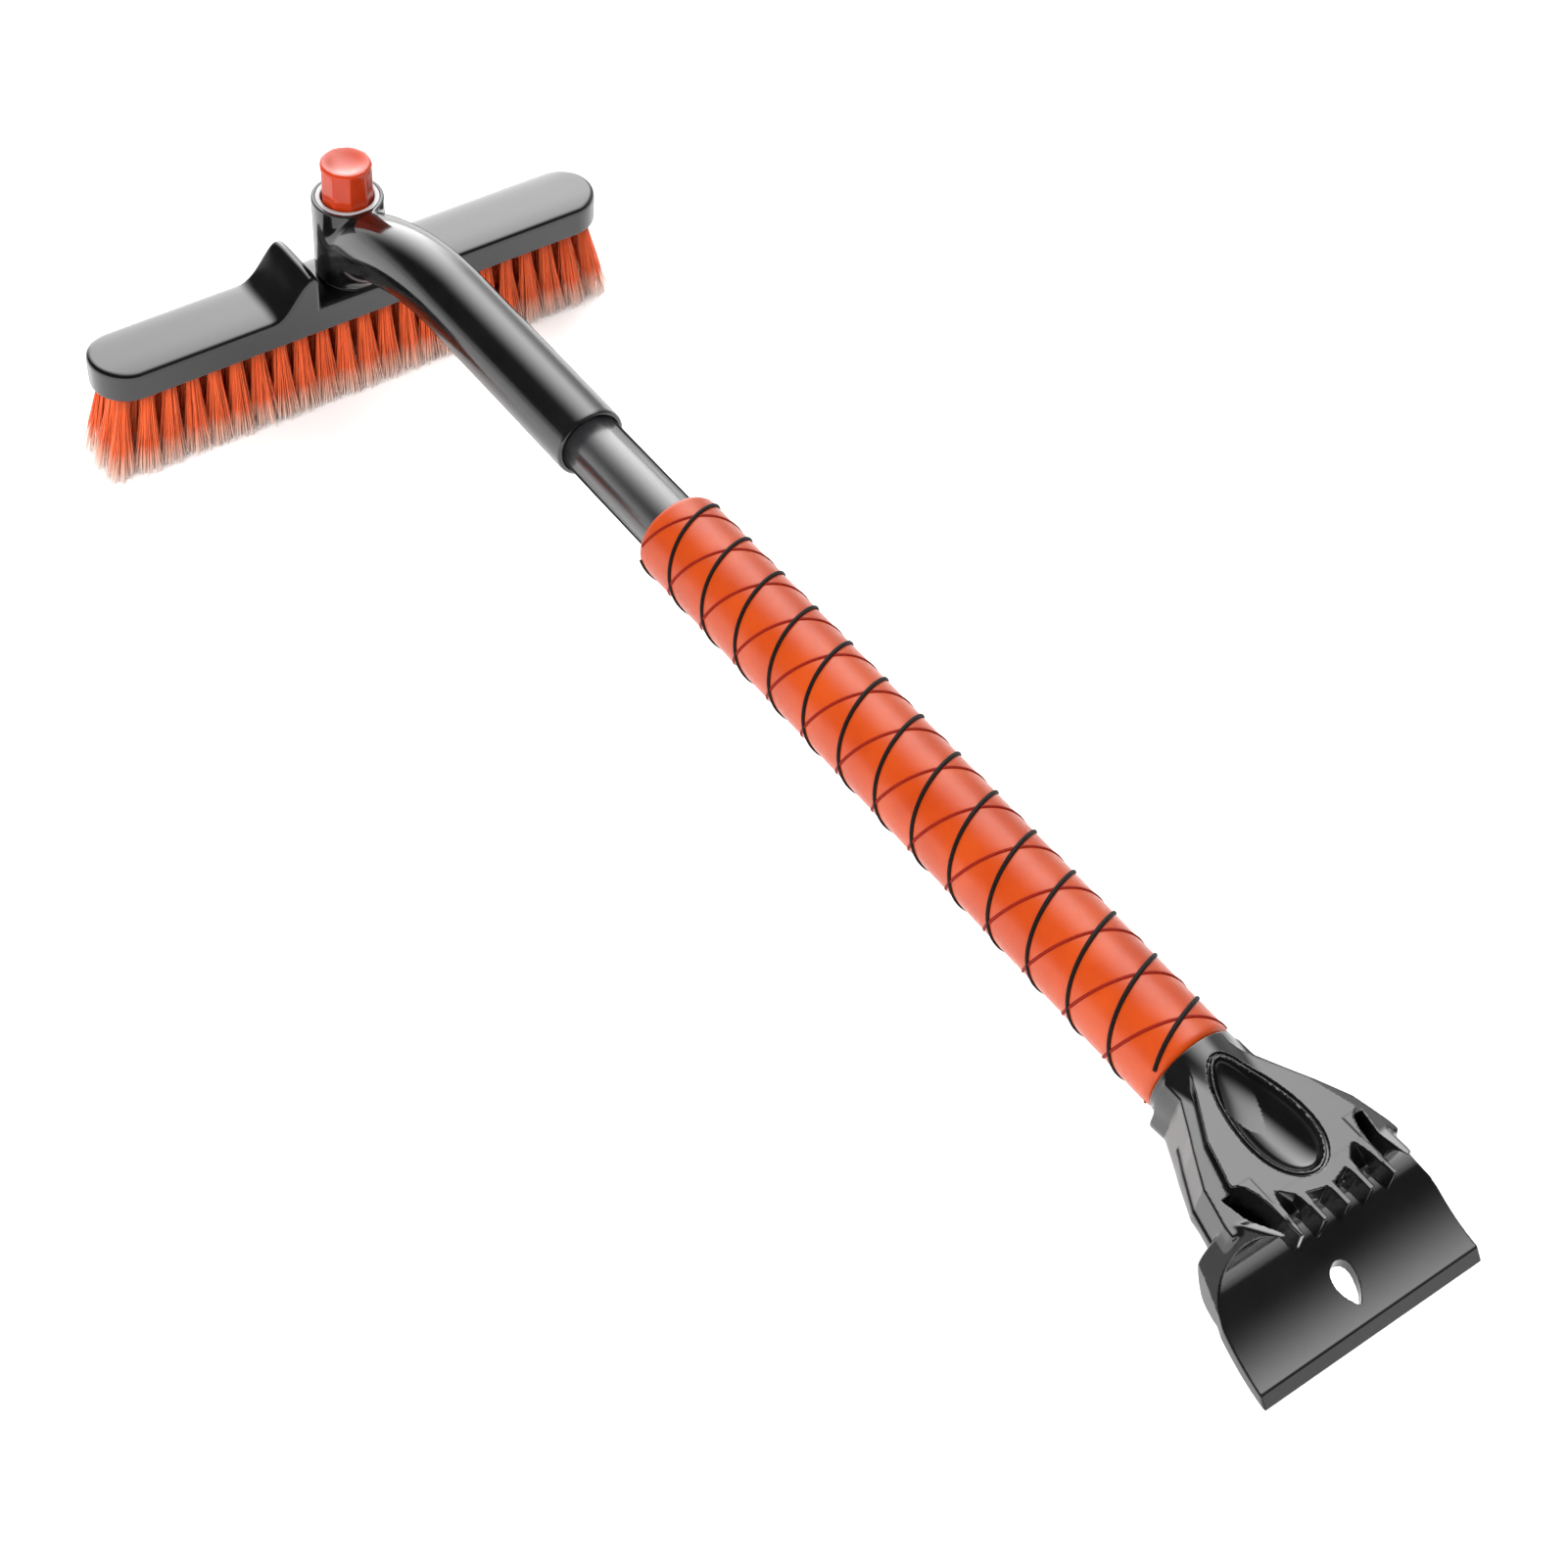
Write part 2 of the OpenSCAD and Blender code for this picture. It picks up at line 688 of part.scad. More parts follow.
// Round neck that narrows into the deck
module scraper_neck() {
    rotate([0, 90, 0]) cylinder(h = neck_len, r1 = neck_r, r2 = neck_end_r);
}

// Body that widens from the neck to the curl, with a flat shelf on top
module scraper_body() {
    intersection() {
        between(body_bottom_start, shelf_z) polygon(mirrored(shelf_half));
        across(blade_w) polygon([
            [body_start, body_bottom_start], [body_level_x, body_bottom], [body_end, body_bottom],
            [body_end, shelf_z], [body_start, shelf_z]
        ]);
        rotate([0, 90, 0]) cylinder(h = body_end, r1 = neck_r, r2 = body_cone_r);
    }
}

// Side view of the thick curl, with lips that rise towards the blade
module curl_section() {
    difference() {
        intersection() {
            translate([curl_x, curl_z]) circle(curl_outer_r);
            polygon([
                [lip_x - 8, shelf_z], [lip_x, shelf_z], [lip_tip_x, shelf_z + (lip_tip_x - lip_x) * lip_slope],
                [lip_tip_x, heel_z], [lip_x - 8, heel_z]
            ]);
        }
        translate(trough_at) circle(trough_r);
        intersection() {
            translate(bend_at) circle(blade_bend_r, $fn = 180);
            translate([bend_start, 3 * heel_z]) square([curl_outer_r, -2.7 * heel_z]);
        }
    }
}

// Side view of the blade: a gently bent plate with a bevelled edge
module plate_section() {
    low = 1.5 * blade_low;
    high = -5;
    intersection() {
        translate(bend_at) difference() {
            circle(blade_bend_r + blade_t, $fn = 180);
            circle(blade_bend_r, $fn = 180);
        }
        polygon([
            [bend_start - blade_t, high], [bend_start - blade_t, low],
            [scraper_len + (blade_low - low) * edge_bevel, low],
            [scraper_len + (blade_low - high) * edge_bevel, high]
        ]);
    }
}

// The curl and the blade, with ends that lean inwards going up
module curled_blade() {
    half = blade_w / 2;
    tall = 20;
    deep = 40;
    intersection() {
        across(blade_w) {
            curl_section();
            plate_section();
        }
        between(-deep, tall) polygon(mirrored([for (p = blade_plan) [p[0], p[1] * half]]));
        rotate([90, 0, 90]) linear_extrude(2 * scraper_len) polygon([
            [end_half + (deck_z - tall) * end_lean, tall], [end_half + (deck_z + deep) * end_lean, -deep],
            [-end_half - (deck_z + deep) * end_lean, -deep], [-end_half - (deck_z - tall) * end_lean, tall]
        ]);
    }
}

// Openings round the teeth: a slope between them, and a deep pocket beside each outer one
module tooth_gaps() {
    across(gap_half) polygon([
        [gap_x, gap_z], [gap_x + gap_z - gap_low, gap_low], [curl_x + 5, gap_low],
        [curl_x + 5, 2 * gap_z], [gap_x, 2 * gap_z]
    ]);
    for (side = [0, 1])
        mirror([0, side, 0]) between(pocket_z, 2 * gap_z) polygon([
            [pocket_x, pocket_half[0]], [pocket_x, pocket_half[1]], [tooth_tip_x, pocket_tip_half],
            [curl_x, pocket_tip_half], [curl_x, pocket_half[0]]
        ]);
}

// Flat deck with its ice-breaking teeth
module scraper_deck() {
    between(tooth_low, deck_z) {
        polygon(mirrored(deck_half));
        for (i = [-1 : 1])
            translate([tooth_root_x, i * tooth_pitch - tooth_w / 2])
                square([tooth_tip_x - tooth_root_x, tooth_w]);
        for (side = [0, 1])
            mirror([0, side]) polygon(outer_tooth);
    }
}

// Long pointed hollow for the thumb
module thumb_hollow() {
    translate([hollow_x, 0, deck_z + hollow_lift]) rotate([0, 90, 0]) rotate_extrude() intersection() {
        translate([hollow_r - hollow_bow_r, 0]) circle(hollow_bow_r, $fn = 180);
        translate([0, -hollow_bow_r]) square(2 * hollow_bow_r);
    }
}

// Hole that is round towards the teeth and pointed towards the edge
module hanging_hole() {
    translate([hole_x, 0, -blade_w]) linear_extrude(blade_w) {
        circle(hole_r);
        intersection() {
            translate([0, hole_bow_r - hole_r]) circle(hole_bow_r);
            translate([0, hole_r - hole_bow_r]) circle(hole_bow_r);
            translate([0, -hole_r]) square([hole_bow_r, 2 * hole_r]);
        }
    }
}

module scraper_head() {
    color([0.08, 0.08, 0.09]) translate([grip_end, 0, shaft_z]) difference() {
        union() {
            translate([-spigot_len, 0, 0]) rotate([0, 90, 0])
                cylinder(h = spigot_len + 1, r = tube_r - tube_wall - 0.05);
            scraper_neck();
            difference() {
                union() {
                    scraper_body();
                    curled_blade();
                }
                tooth_gaps();
                translate([trough_at[0], 0, trough_at[1]]) rotate([90, 0, 0])
                    cylinder(h = 2 * blade_w, r = trough_r, center = true);
            }
            scraper_deck();
        }
        thumb_hollow();
        hanging_hole();
        translate([-pin_from_end, 0, 0]) cylinder(h = 2 * tube_d, r = pin_r + 0.02, center = true);
    }
}

module scraper_pin() {
    color("silver") translate([grip_end - pin_from_end, 0, shaft_z])
        cylinder(h = tube_d - 1, r = pin_r, center = true);
}

brush_block();
bristle_base();
front_tufts();
middle_tufts();
rear_tufts();
tuft_staples();
base_screws();
pivot_post();
post_screws();
thrust_washer();
retaining_washer();
snap_ring();
index_gear();
gear_screw();
arm_casting();
barrel_cap_ring();
release_button();
lock_ring();
lock_spring();
shaft_tube();
tube_end_plug();
foam_sleeve();
grip_cover();
inner_lacing();
outer_lacing();
scraper_head();
scraper_pin();
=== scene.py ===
import json
import math
import bpy
import numpy as np
from mathutils import Matrix, Vector


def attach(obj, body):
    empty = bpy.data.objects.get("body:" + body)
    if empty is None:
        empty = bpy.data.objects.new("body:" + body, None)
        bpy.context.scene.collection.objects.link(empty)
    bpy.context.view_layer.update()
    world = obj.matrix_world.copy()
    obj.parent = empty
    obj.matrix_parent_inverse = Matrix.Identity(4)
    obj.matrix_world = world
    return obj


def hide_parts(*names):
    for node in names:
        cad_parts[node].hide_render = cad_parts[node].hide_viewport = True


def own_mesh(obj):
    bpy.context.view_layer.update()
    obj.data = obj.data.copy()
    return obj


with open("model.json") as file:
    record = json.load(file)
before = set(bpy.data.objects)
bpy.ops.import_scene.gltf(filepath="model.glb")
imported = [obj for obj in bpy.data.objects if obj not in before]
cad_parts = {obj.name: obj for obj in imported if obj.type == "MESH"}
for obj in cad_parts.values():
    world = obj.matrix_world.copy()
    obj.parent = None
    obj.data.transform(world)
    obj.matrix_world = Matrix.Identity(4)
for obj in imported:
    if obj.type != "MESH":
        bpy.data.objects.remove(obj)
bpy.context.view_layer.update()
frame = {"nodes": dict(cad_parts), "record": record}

# Sizes are in millimetres, in the part's own frame: +Z up the swivel axis, +X along the shaft
MM = 0.001
MARGIN = 1.5                # room round a shape whose mesh is made from a field
rng = np.random.default_rng(7)

# Brush head
BRISTLE_LEN = 43.5
BLOCK_H = 15.0
BLOCK_TOP = BRISTLE_LEN + BLOCK_H
BLOCK_X = -1.0
BLOCK_R = 16.5
BLOCK_LEN = 257.0
BLOCK_WALL = 2.2
TOP_WALL = 4.5
RAMP_NEAR = 24.0
RAMP_FLAT = 3.5
RAMP_FAR = 50.0
RAMP_H = 15.6
BLOCK_CROWN = 1.3           # fall of the block's top from its middle to its edge
POST_HOLE_R = 9.1
TUFTS = 23
TUFT_PITCH = 10.8
ROW_GAP = 10.0
END_CENTRE = BLOCK_LEN / 2 - BLOCK_R
END_REACH = 11.0
TUFT_R = 2.45
FILAMENTS = 120             # to a tuft
FILAMENT_R = 0.24
ROOT_DEPTH = 0.4            # how far the roots go into the base

# Barrel and button
BARREL_R = 16.0
BARREL_BOTTOM = BLOCK_TOP + 0.9
BARREL_TOP = BLOCK_TOP + 40.3
BARREL_FLOOR = BLOCK_TOP + 6.9
CAP_RING_R = 14.2
CAP_RING_H = 4.3
CAVITY_R = 13.0
BUTTON_R = 11.4
BUTTON_TOP = BARREL_TOP + 18.0
BUTTON_SIDES = 9
BUTTON_HOLLOW_R = 8.9
BUTTON_WALL = 3.2
DISH_R = 23.8
DISH_RISE = 22.0            # height of the dish's centre above the button
FLANGE_R = 12.7
FLANGE_H = 5.0
FLANGE_LOW = BARREL_TOP - 9.4

# Spring under the lock ring
SPRING_LOW = BLOCK_TOP + 8.25
SPRING_HIGH = BLOCK_TOP + 21.85
SPRING_R = 10.2
SPRING_TURNS = 5
SPRING_CLOSED = 0.7         # turns of each end that lie flat
WIRE_R = 0.6

# Arm, shaft and grip
SHAFT_Z = BLOCK_TOP + 44.2
ARM_R = 15.6
BEND_R = 145.0
BEND_X = BEND_R * math.sin(math.radians(39.4))
BEND_Z = SHAFT_Z - BEND_R
ARM_REACH = 194.0
TUBE_R = 13.3
TUBE_WALL = 1.2
TUBE_START = 126.0
SOCKET_FLOOR = TUBE_START - 2
SOCKET_GAP = 0.08
FINGER_R = 11.5
FINGER_DROP = 22.0          # how far inside the bend's centre line the finger hollows are centred
FINGER_FIRST = 0.8          # angle round the bend of the first hollow, and from one to the next, degrees
FINGER_STEP = 12.2
FINGERS = 3
RAMP_CLEAR_R = 23.2         # what the ramp sweeps through as the head turns
GRIP_START = 254.0
GRIP_LEN = 304.0
GRIP_END = GRIP_START + GRIP_LEN
GRIP_R = 18.6
GRIP_EDGE = 3.0             # rounding of the cover's ends
LACING_PITCHES = 14
LACING_SHIFT = 9.8
LACING_MARGIN = 2.5         # bare cover left at each end
LACING_PRESS = 0.15         # how deep a strand presses the cover in, and how wide
LACING_PRESS_W = 1.1


# ---------- solid shapes as distance fields ----------

def join(a, b, k):
    """Smooth union of two fields, with a fillet about k wide."""
    h = np.maximum(k - np.abs(a - b), 0) / k
    return np.minimum(a, b) - h * h * k / 4


def meet(a, b, k):
    """Smooth intersection of two fields, with its edge rounded over about k."""
    return -join(-a, -b, k)


def carve(a, b, k):
    """Field a with b cut out of it."""
    return meet(a, -b, k)


def surface_net(values, low, step):
    """Vertices and quads of the zero surface of a sampled field."""
    inside = values < 0
    size = np.array(values.shape)
    count = np.zeros(size - 1, np.int8)
    corners = [np.array((i, j, k)) for i in (0, 1) for j in (0, 1) for k in (0, 1)]
    for c in corners:
        count += inside[c[0]:size[0] - 1 + c[0], c[1]:size[1] - 1 + c[1], c[2]:size[2] - 1 + c[2]]
    mixed = (count > 0) & (count < 8)
    cells = np.argwhere(mixed)
    index = np.full(size - 1, -1, np.int64)
    index[mixed] = np.arange(len(cells))
    total = np.zeros((len(cells), 3))
    hits = np.zeros(len(cells))
    for a in corners:
        for axis in range(3):
            if a[axis]:
                continue
            b = a.copy()
            b[axis] = 1
            va = values[tuple((cells + a).T)]
            vb = values[tuple((cells + b).T)]
            crossing = (va < 0) != (vb < 0)
            t = np.where(crossing, va / np.where(crossing, va - vb, 1), 0)
            point = a + t[:, None] * (b - a)
            total[crossing] += point[crossing]
            hits += crossing
    verts = low + (cells + total / hits[:, None]) * step
    quads = []
    for axis in range(3):
        u, w = (axis + 1) % 3, (axis + 2) % 3
        first = [slice(1, n - 1) for n in size]
        first[axis] = slice(0, size[axis] - 1)
        second = list(first)
        second[axis] = slice(1, size[axis])
        here, there = inside[tuple(first)], inside[tuple(second)]
        edges = np.argwhere(here != there)
        outward = here[tuple(edges.T)]
        edges = edges + np.array([0 if d == axis else 1 for d in range(3)])
        ring = []
        for du, dw in ((1, 1), (0, 1), (0, 0), (1, 0)):
            cell = edges.copy()
            cell[:, u] -= du
            cell[:, w] -= dw
            ring.append(index[tuple(cell.T)])
        ring = np.stack(ring, 1)
        ring[~outward] = ring[~outward][:, ::-1]
        quads.append(ring)
    return verts, np.concatenate(quads)


def gradient(field, p):
    """Slope of a field at points, by central differences."""
    h = 0.02
    parts = []
    for axis in range(3):
        d = np.zeros(3)
        d[axis] = h
        ahead, behind = p + d, p - d
        parts.append((field(*ahead.T) - field(*behind.T)) / (2 * h))
    return np.stack(parts, 1)


def field_mesh(name, field, low, high, step):
    """A smooth mesh of a distance field, its vertices pulled exactly onto the surface."""
    low = np.array(low, float)
    axes = [np.arange(a, b + step, step) for a, b in zip(low, high)]
    x, y, z = axes[0][:, None, None], axes[1][None, :, None], axes[2][None, None, :]
    values = np.broadcast_to(field(x, y, z), [len(a) for a in axes])
    verts, quads = surface_net(values, low, step)
    for _ in range(3):
        g = gradient(field, verts)
        length = np.maximum((g * g).sum(1), 0.05)
        move = g * (field(*verts.T) / length)[:, None]
        verts -= np.clip(move, -step / 2, step / 2)
    g = gradient(field, verts)
    normals = g / np.maximum(np.linalg.norm(g, axis=1), 1e-9)[:, None]
    return mesh_object(name, verts, quads, normals)


# ---------- meshes ----------

def mesh_object(name, verts, faces, normals=None):
    """A smooth-shaded object from vertices in millimetres."""
    mesh = bpy.data.meshes.new(name)
    faces = faces.tolist() if isinstance(faces, np.ndarray) else faces
    mesh.from_pydata((np.asarray(verts) * MM).tolist(), [], faces)
    mesh.polygons.foreach_set("use_smooth", [True] * len(mesh.polygons))
    if normals is not None:
        mesh.normals_split_custom_set_from_vertices(normals.tolist())
    obj = bpy.data.objects.new(name, mesh)
    bpy.context.scene.collection.objects.link(obj)
    return obj


def grid_faces(rows, cols, first=0, closed=True):
    """Quads of a grid of vertices, closed across the columns."""
    r = np.arange(rows - 1)[:, None]
    c = np.arange(cols if closed else cols - 1)[None, :]
    n = (c + 1) % cols
    quads = np.stack([r * cols + c, r * cols + n, (r + 1) * cols + n, (r + 1) * cols + c], -1)
    return quads.reshape(-1, 4) + first


def round_corner(cx, cy, r, start, end, steps=6):
    """Points of an arc, angles in degrees."""
    a = np.radians(np.linspace(start, end, steps))
    return [(cx + r * math.cos(t), cy + r * math.sin(t)) for t in a]


def revolve(name, profile, sides, to_point):
    """A solid of revolution from a closed profile of (radius, height) points."""
    profile = np.array(profile + profile[:1])
    a = np.linspace(0, 2 * math.pi, sides, endpoint=False)
    x = profile[:, :1] * np.cos(a)
    y = profile[:, :1] * np.sin(a)
    h = np.broadcast_to(profile[:, 1:], x.shape)
    verts = to_point(x, y, h).reshape(-1, 3)
    return mesh_object(name, verts, grid_faces(len(profile), sides))


def along_shaft(x, y, h):
    """Points round the shaft's axis."""
    return np.stack([h, x, SHAFT_Z + y], -1)


def upright(x, y, h):
    """Points round the swivel axis."""
    return np.stack([x, y, h], -1)


# ---------- materials ----------

def material(name, color, roughness, metallic=0.0):
    """A new material with its node tree and its shader."""
    mat = bpy.data.materials.new(name)
    mat.use_nodes = True
    tree = mat.node_tree
    shader = tree.nodes["Principled BSDF"]
    shader.inputs["Base Color"].default_value = (*color, 1)
    shader.inputs["Roughness"].default_value = roughness
    shader.inputs["Metallic"].default_value = metallic
    return mat, tree, shader


def add_node(tree, kind, **values):
    """Adds a node, setting its properties and inputs by name."""
    node = tree.nodes.new(kind)
    for key, value in values.items():
        if hasattr(node, key):
            setattr(node, key, value)
        else:
            node.inputs[key.replace("_", " ")].default_value = value
    return node


def object_noise(tree, scale, detail=4.0, stretch=(1, 1, 1)):
    """Noise in the piece's own coordinates."""
    where = add_node(tree, "ShaderNodeTexCoord")
    mapping = add_node(tree, "ShaderNodeMapping", Scale=stretch)
    noise = add_node(tree, "ShaderNodeTexNoise", Scale=scale, Detail=detail)
    tree.links.new(where.outputs["Object"], mapping.inputs["Vector"])
    tree.links.new(mapping.outputs["Vector"], noise.inputs["Vector"])
    return noise


def ramp_between(tree, factor, low, high, at=(0.3, 0.7)):
    """Turns a 0-1 value into a colour or value between low and high."""
    ramp = add_node(tree, "ShaderNodeValToRGB")
    for element, value, place in zip(ramp.color_ramp.elements, (low, high), at):
        element.position = place
        element.color = (*value, 1) if hasattr(value, "__len__") else (value, value, value, 1)
    tree.links.new(factor, ramp.inputs["Fac"])
    return ramp.outputs["Color"]


def vary(tree, shader, socket, noise, low, high, at=(0.3, 0.7)):
    """Drives one input of the shader by noise, between two colours or values."""
    tree.links.new(ramp_between(tree, noise.outputs["Fac"], low, high, at), shader.inputs[socket])


def bump(tree, shader, height, strength, distance):
    """Fine relief from a height, its distance in millimetres."""
    node = add_node(tree, "ShaderNodeBump", Strength=strength, Distance=distance * MM)
    tree.links.new(height, node.inputs["Height"])
    tree.links.new(node.outputs["Normal"], shader.inputs["Normal"])


def map_range(tree, value, low, high, to_low, to_high):
    """A smooth step of a value from one range to another."""
    node = add_node(tree, "ShaderNodeMapRange", interpolation_type="SMOOTHSTEP")
    for socket, number in zip(("From Min", "From Max", "To Min", "To Max"), (low, high, to_low, to_high)):
        node.inputs[socket].default_value = number
    tree.links.new(value, node.inputs["Value"])
    return node.outputs["Result"]


def combine(tree, operation, a, b):
    """Joins two values by a sum, a product or the like."""
    node = add_node(tree, "ShaderNodeMath", operation=operation)
    tree.links.new(a, node.inputs[0])
    tree.links.new(b, node.inputs[1])
    return node.outputs["Value"]


def gloss_black():
    """Polished black moulding, with faint flow marks and fine surface waviness."""
    mat, tree, shader = material("gloss_black", (0.004, 0.004, 0.004), 0.14)
    vary(tree, shader, "Base Color", object_noise(tree, 30), (0.002, 0.002, 0.002), (0.005, 0.005, 0.005))
    vary(tree, shader, "Roughness", object_noise(tree, 220, 6), 0.11, 0.17)
    bump(tree, shader, object_noise(tree, 900, 3).outputs["Fac"], 0.04, 0.04)
    polish(shader, 0.06, 0.35)
    dark_rim(tree, shader, 0.35)
    return mat


def polish(shader, roughness, weight):
    """A clear glossy surface over the base."""
    shader.inputs["Coat Weight"].default_value = weight
    shader.inputs["Coat Roughness"].default_value = roughness


def dark_rim(tree, shader, weight):
    """Fades the gloss out where the surface turns away, which leaves a dark outline."""
    turned = add_node(tree, "ShaderNodeLayerWeight", Blend=0.5)
    for socket, level in (("Coat Weight", weight), ("Specular IOR Level", 0.5)):
        fade = map_range(tree, turned.outputs["Facing"], 0.68, 0.92, level, 0.0)
        tree.links.new(fade, shader.inputs[socket])


def satin_black():
    """Black moulding with a fine matt texture."""
    mat, tree, shader = material("satin_black", (0.02, 0.02, 0.021), 0.4)
    vary(tree, shader, "Roughness", object_noise(tree, 300, 5), 0.34, 0.5)
    bump(tree, shader, object_noise(tree, 2500, 2).outputs["Fac"], 0.2, 0.05)
    return mat


def black_tube():
    """Anodised tube, drawn lengthwise."""
    mat, tree, shader = material("black_tube", (0.014, 0.014, 0.015), 0.2)
    drawn = object_noise(tree, 900, 4, stretch=(0.02, 1, 1))
    vary(tree, shader, "Roughness", drawn, 0.14, 0.26)
    bump(tree, shader, drawn.outputs["Fac"], 0.05, 0.04)
    polish(shader, 0.08, 0.2)
    dark_rim(tree, shader, 0.2)
    return mat


def grey_plastic():
    """Light grey moulding."""
    mat, tree, shader = material("grey_plastic", (0.36, 0.36, 0.37), 0.2)
    vary(tree, shader, "Roughness", object_noise(tree, 300, 5), 0.18, 0.28)
    vary(tree, shader, "Base Color", object_noise(tree, 60), (0.32, 0.32, 0.33), (0.39, 0.39, 0.40))
    return mat


def orange_plastic():
    """Slightly translucent orange-red moulding."""
    mat, tree, shader = material("orange_plastic", (0.36, 0.026, 0.003), 0.16)
    vary(tree, shader, "Base Color", object_noise(tree, 80), (0.33, 0.022, 0.002), (0.39, 0.030, 0.004))
    vary(tree, shader, "Roughness", object_noise(tree, 400, 5), 0.12, 0.22)
    shader.inputs["Subsurface Weight"].default_value = 0.1
    shader.inputs["Subsurface Radius"].default_value = (0.004, 0.0012, 0.0006)
    shader.inputs["Subsurface Scale"].default_value = 1.0
    polish(shader, 0.05, 0.1)
    shader.inputs["Specular IOR Level"].default_value = 0.35
    return mat


def grip_skin():
    """Satin coated cover over foam, with a fine pebbled grain."""
    mat, tree, shader = material("grip_skin", (0.33, 0.032, 0.004), 0.4)
    vary(tree, shader, "Base Color", object_noise(tree, 45, 5), (0.30, 0.031, 0.003), (0.36, 0.045, 0.005))
    vary(tree, shader, "Roughness", object_noise(tree, 500, 5), 0.3, 0.45)
    where = add_node(tree, "ShaderNodeTexCoord")
    pebbles = add_node(tree, "ShaderNodeTexVoronoi", feature="SMOOTH_F1", Scale=1300.0)
    tree.links.new(where.outputs["Object"], pebbles.inputs["Vector"])
    bump(tree, shader, pebbles.outputs["Distance"], 0.12, 0.12)
    polish(shader, 0.18, 0.15)
    shader.inputs["Specular IOR Level"].default_value = 0.3
    return mat


def cord_material(name, dark, light):
    """Matt cord with a fine fibrous relief."""
    mat, tree, shader = material(name, dark, 0.6)
    shader.inputs["Specular IOR Level"].default_value = 0.1
    vary(tree, shader, "Base Color", object_noise(tree, 1500, 3), dark, light)
    bump(tree, shader, object_noise(tree, 2600, 2).outputs["Fac"], 0.5, 0.15)
    return mat


def bristle_material():
    """Orange-red filament, darkened towards the root with painted shade, that fades to pale, frayed tips.
    """
    mat, tree, shader = material("bristle", (0.72, 0.12, 0.055), 0.38)
    along = add_node(tree, "ShaderNodeAttribute", attribute_name="along")
    ramp = add_node(tree, "ShaderNodeValToRGB")
    # the darker first stop is painted shade where the roots meet the block; the pale last stops are the
    # frayed tips' own colour
    stops = [(0.0, (0.62, 0.075, 0.018)), (0.2, (0.97, 0.19, 0.045)), (0.66, (0.98, 0.24, 0.08)),
             (0.8, (0.98, 0.58, 0.42)), (1.0, (0.98, 0.86, 0.80))]
    while len(ramp.color_ramp.elements) < len(stops):
        ramp.color_ramp.elements.new(0.5)
    for element, (place, color) in zip(ramp.color_ramp.elements, stops):
        element.position = place
        element.color = (*color, 1)
    tree.links.new(along.outputs["Fac"], ramp.inputs["Fac"])
    tree.links.new(ramp.outputs["Color"], shader.inputs["Base Color"])
    vary(tree, shader, "Roughness", object_noise(tree, 700, 3), 0.3, 0.5)
    through = add_node(tree, "ShaderNodeBsdfTranslucent")
    tree.links.new(ramp.outputs["Color"], through.inputs["Color"])
    mix = add_node(tree, "ShaderNodeMixShader", Fac=0.38)
    tree.links.new(shader.outputs["BSDF"], mix.inputs[1])
    tree.links.new(through.outputs["BSDF"], mix.inputs[2])
    tree.links.new(mix.outputs["Shader"], tree.nodes["Material Output"].inputs["Surface"])
    return mat


def steel(name):
    """Bright metal with a brushed sheen."""
    mat, tree, shader = material(name, (0.55, 0.55, 0.56), 0.32, 1.0)
    vary(tree, shader, "Roughness", object_noise(tree, 600, 5, stretch=(1, 1, 0.1)), 0.24, 0.42)
    return mat


def acetal():
    """Off-white bearing plastic."""
    mat, tree, shader = material("acetal", (0.78, 0.78, 0.75), 0.42)
    vary(tree, shader, "Roughness", object_noise(tree, 400, 4), 0.36, 0.5)
    return mat


def foam():
    """Soft open foam."""
    mat, tree, shader = material("foam", (0.55, 0.36, 0.24), 0.85)
    bump(tree, shader, object_noise(tree, 1500, 4).outputs["Fac"], 0.6, 0.3)
    return mat


MATERIALS = {
    "black_plastic": gloss_black(),
    "base_plastic": satin_black(),
    "grey_plastic": grey_plastic(),
    "orange_plastic": orange_plastic(),
    "bristle": bristle_material(),
    "steel": steel("steel"),
    "spring_steel": steel("spring_steel"),
    "post_metal": steel("post_metal"),
    "acetal": acetal(),
    "black_tube": black_tube(),
    "foam": foam(),
    "grip_leather": grip_skin(),
    # the inner strands' dark red is the grip's orange darkened with painted shade, as of the groove they
    # lie in
    "lacing_red": cord_material("lacing_red", (0.13, 0.006, 0.002), (0.19, 0.010, 0.004)),
    "lacing_black": cord_material("lacing_black", (0.004, 0.003, 0.003), (0.010, 0.007, 0.006)),
}


def place(obj, body, slot, *stands_for):
    """Gives a finished piece its material, its body and the CAD nodes that it stands for."""
    obj.data.materials.clear()
    obj.data.materials.append(MATERIALS[slot])
    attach(obj, body)
    if stands_for:
        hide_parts(*stands_for)
    return obj


# ---------- brush head ----------

def stadium(x, y, r, length):
    """Distance in plan from a bar with round ends that lies along Y."""
    past = np.maximum(np.abs(y) - (length / 2 - r), 0)
    return np.hypot(x - BLOCK_X, past) - r


def block_field(x, y, z):
    """The brush head: a hollow bar with round ends, a crowned top and the ramp beside the barrel."""
    side = stadium(x, y, BLOCK_R, BLOCK_LEN)
    across = np.abs(x - BLOCK_X) / BLOCK_R
    slope_len = RAMP_FAR - RAMP_NEAR - RAMP_FLAT
    t = np.clip((y + RAMP_FAR) / slope_len, 0, 1) ** 1.3
    rise = (RAMP_H + 1.4) * t * t * (3 - 2 * t)
    base = z - BLOCK_TOP + BLOCK_CROWN * across ** 4
    slope = (base - rise) / np.hypot(1, 6 * RAMP_H * t * (1 - t) / slope_len)
    ramp = meet(slope, y + RAMP_NEAR, 6.0)
    body = meet(side, np.minimum(base, ramp), 2.6)
    body = meet(body, BRISTLE_LEN - z, 0.8)
    inside = stadium(x, y, BLOCK_R - BLOCK_WALL, BLOCK_LEN - 2 * BLOCK_WALL)
    body = carve(body, np.maximum(inside, z - (BLOCK_TOP - TOP_WALL)), 0.5)
    return carve(body, np.hypot(x, y) - POST_HOLE_R, 0.3)


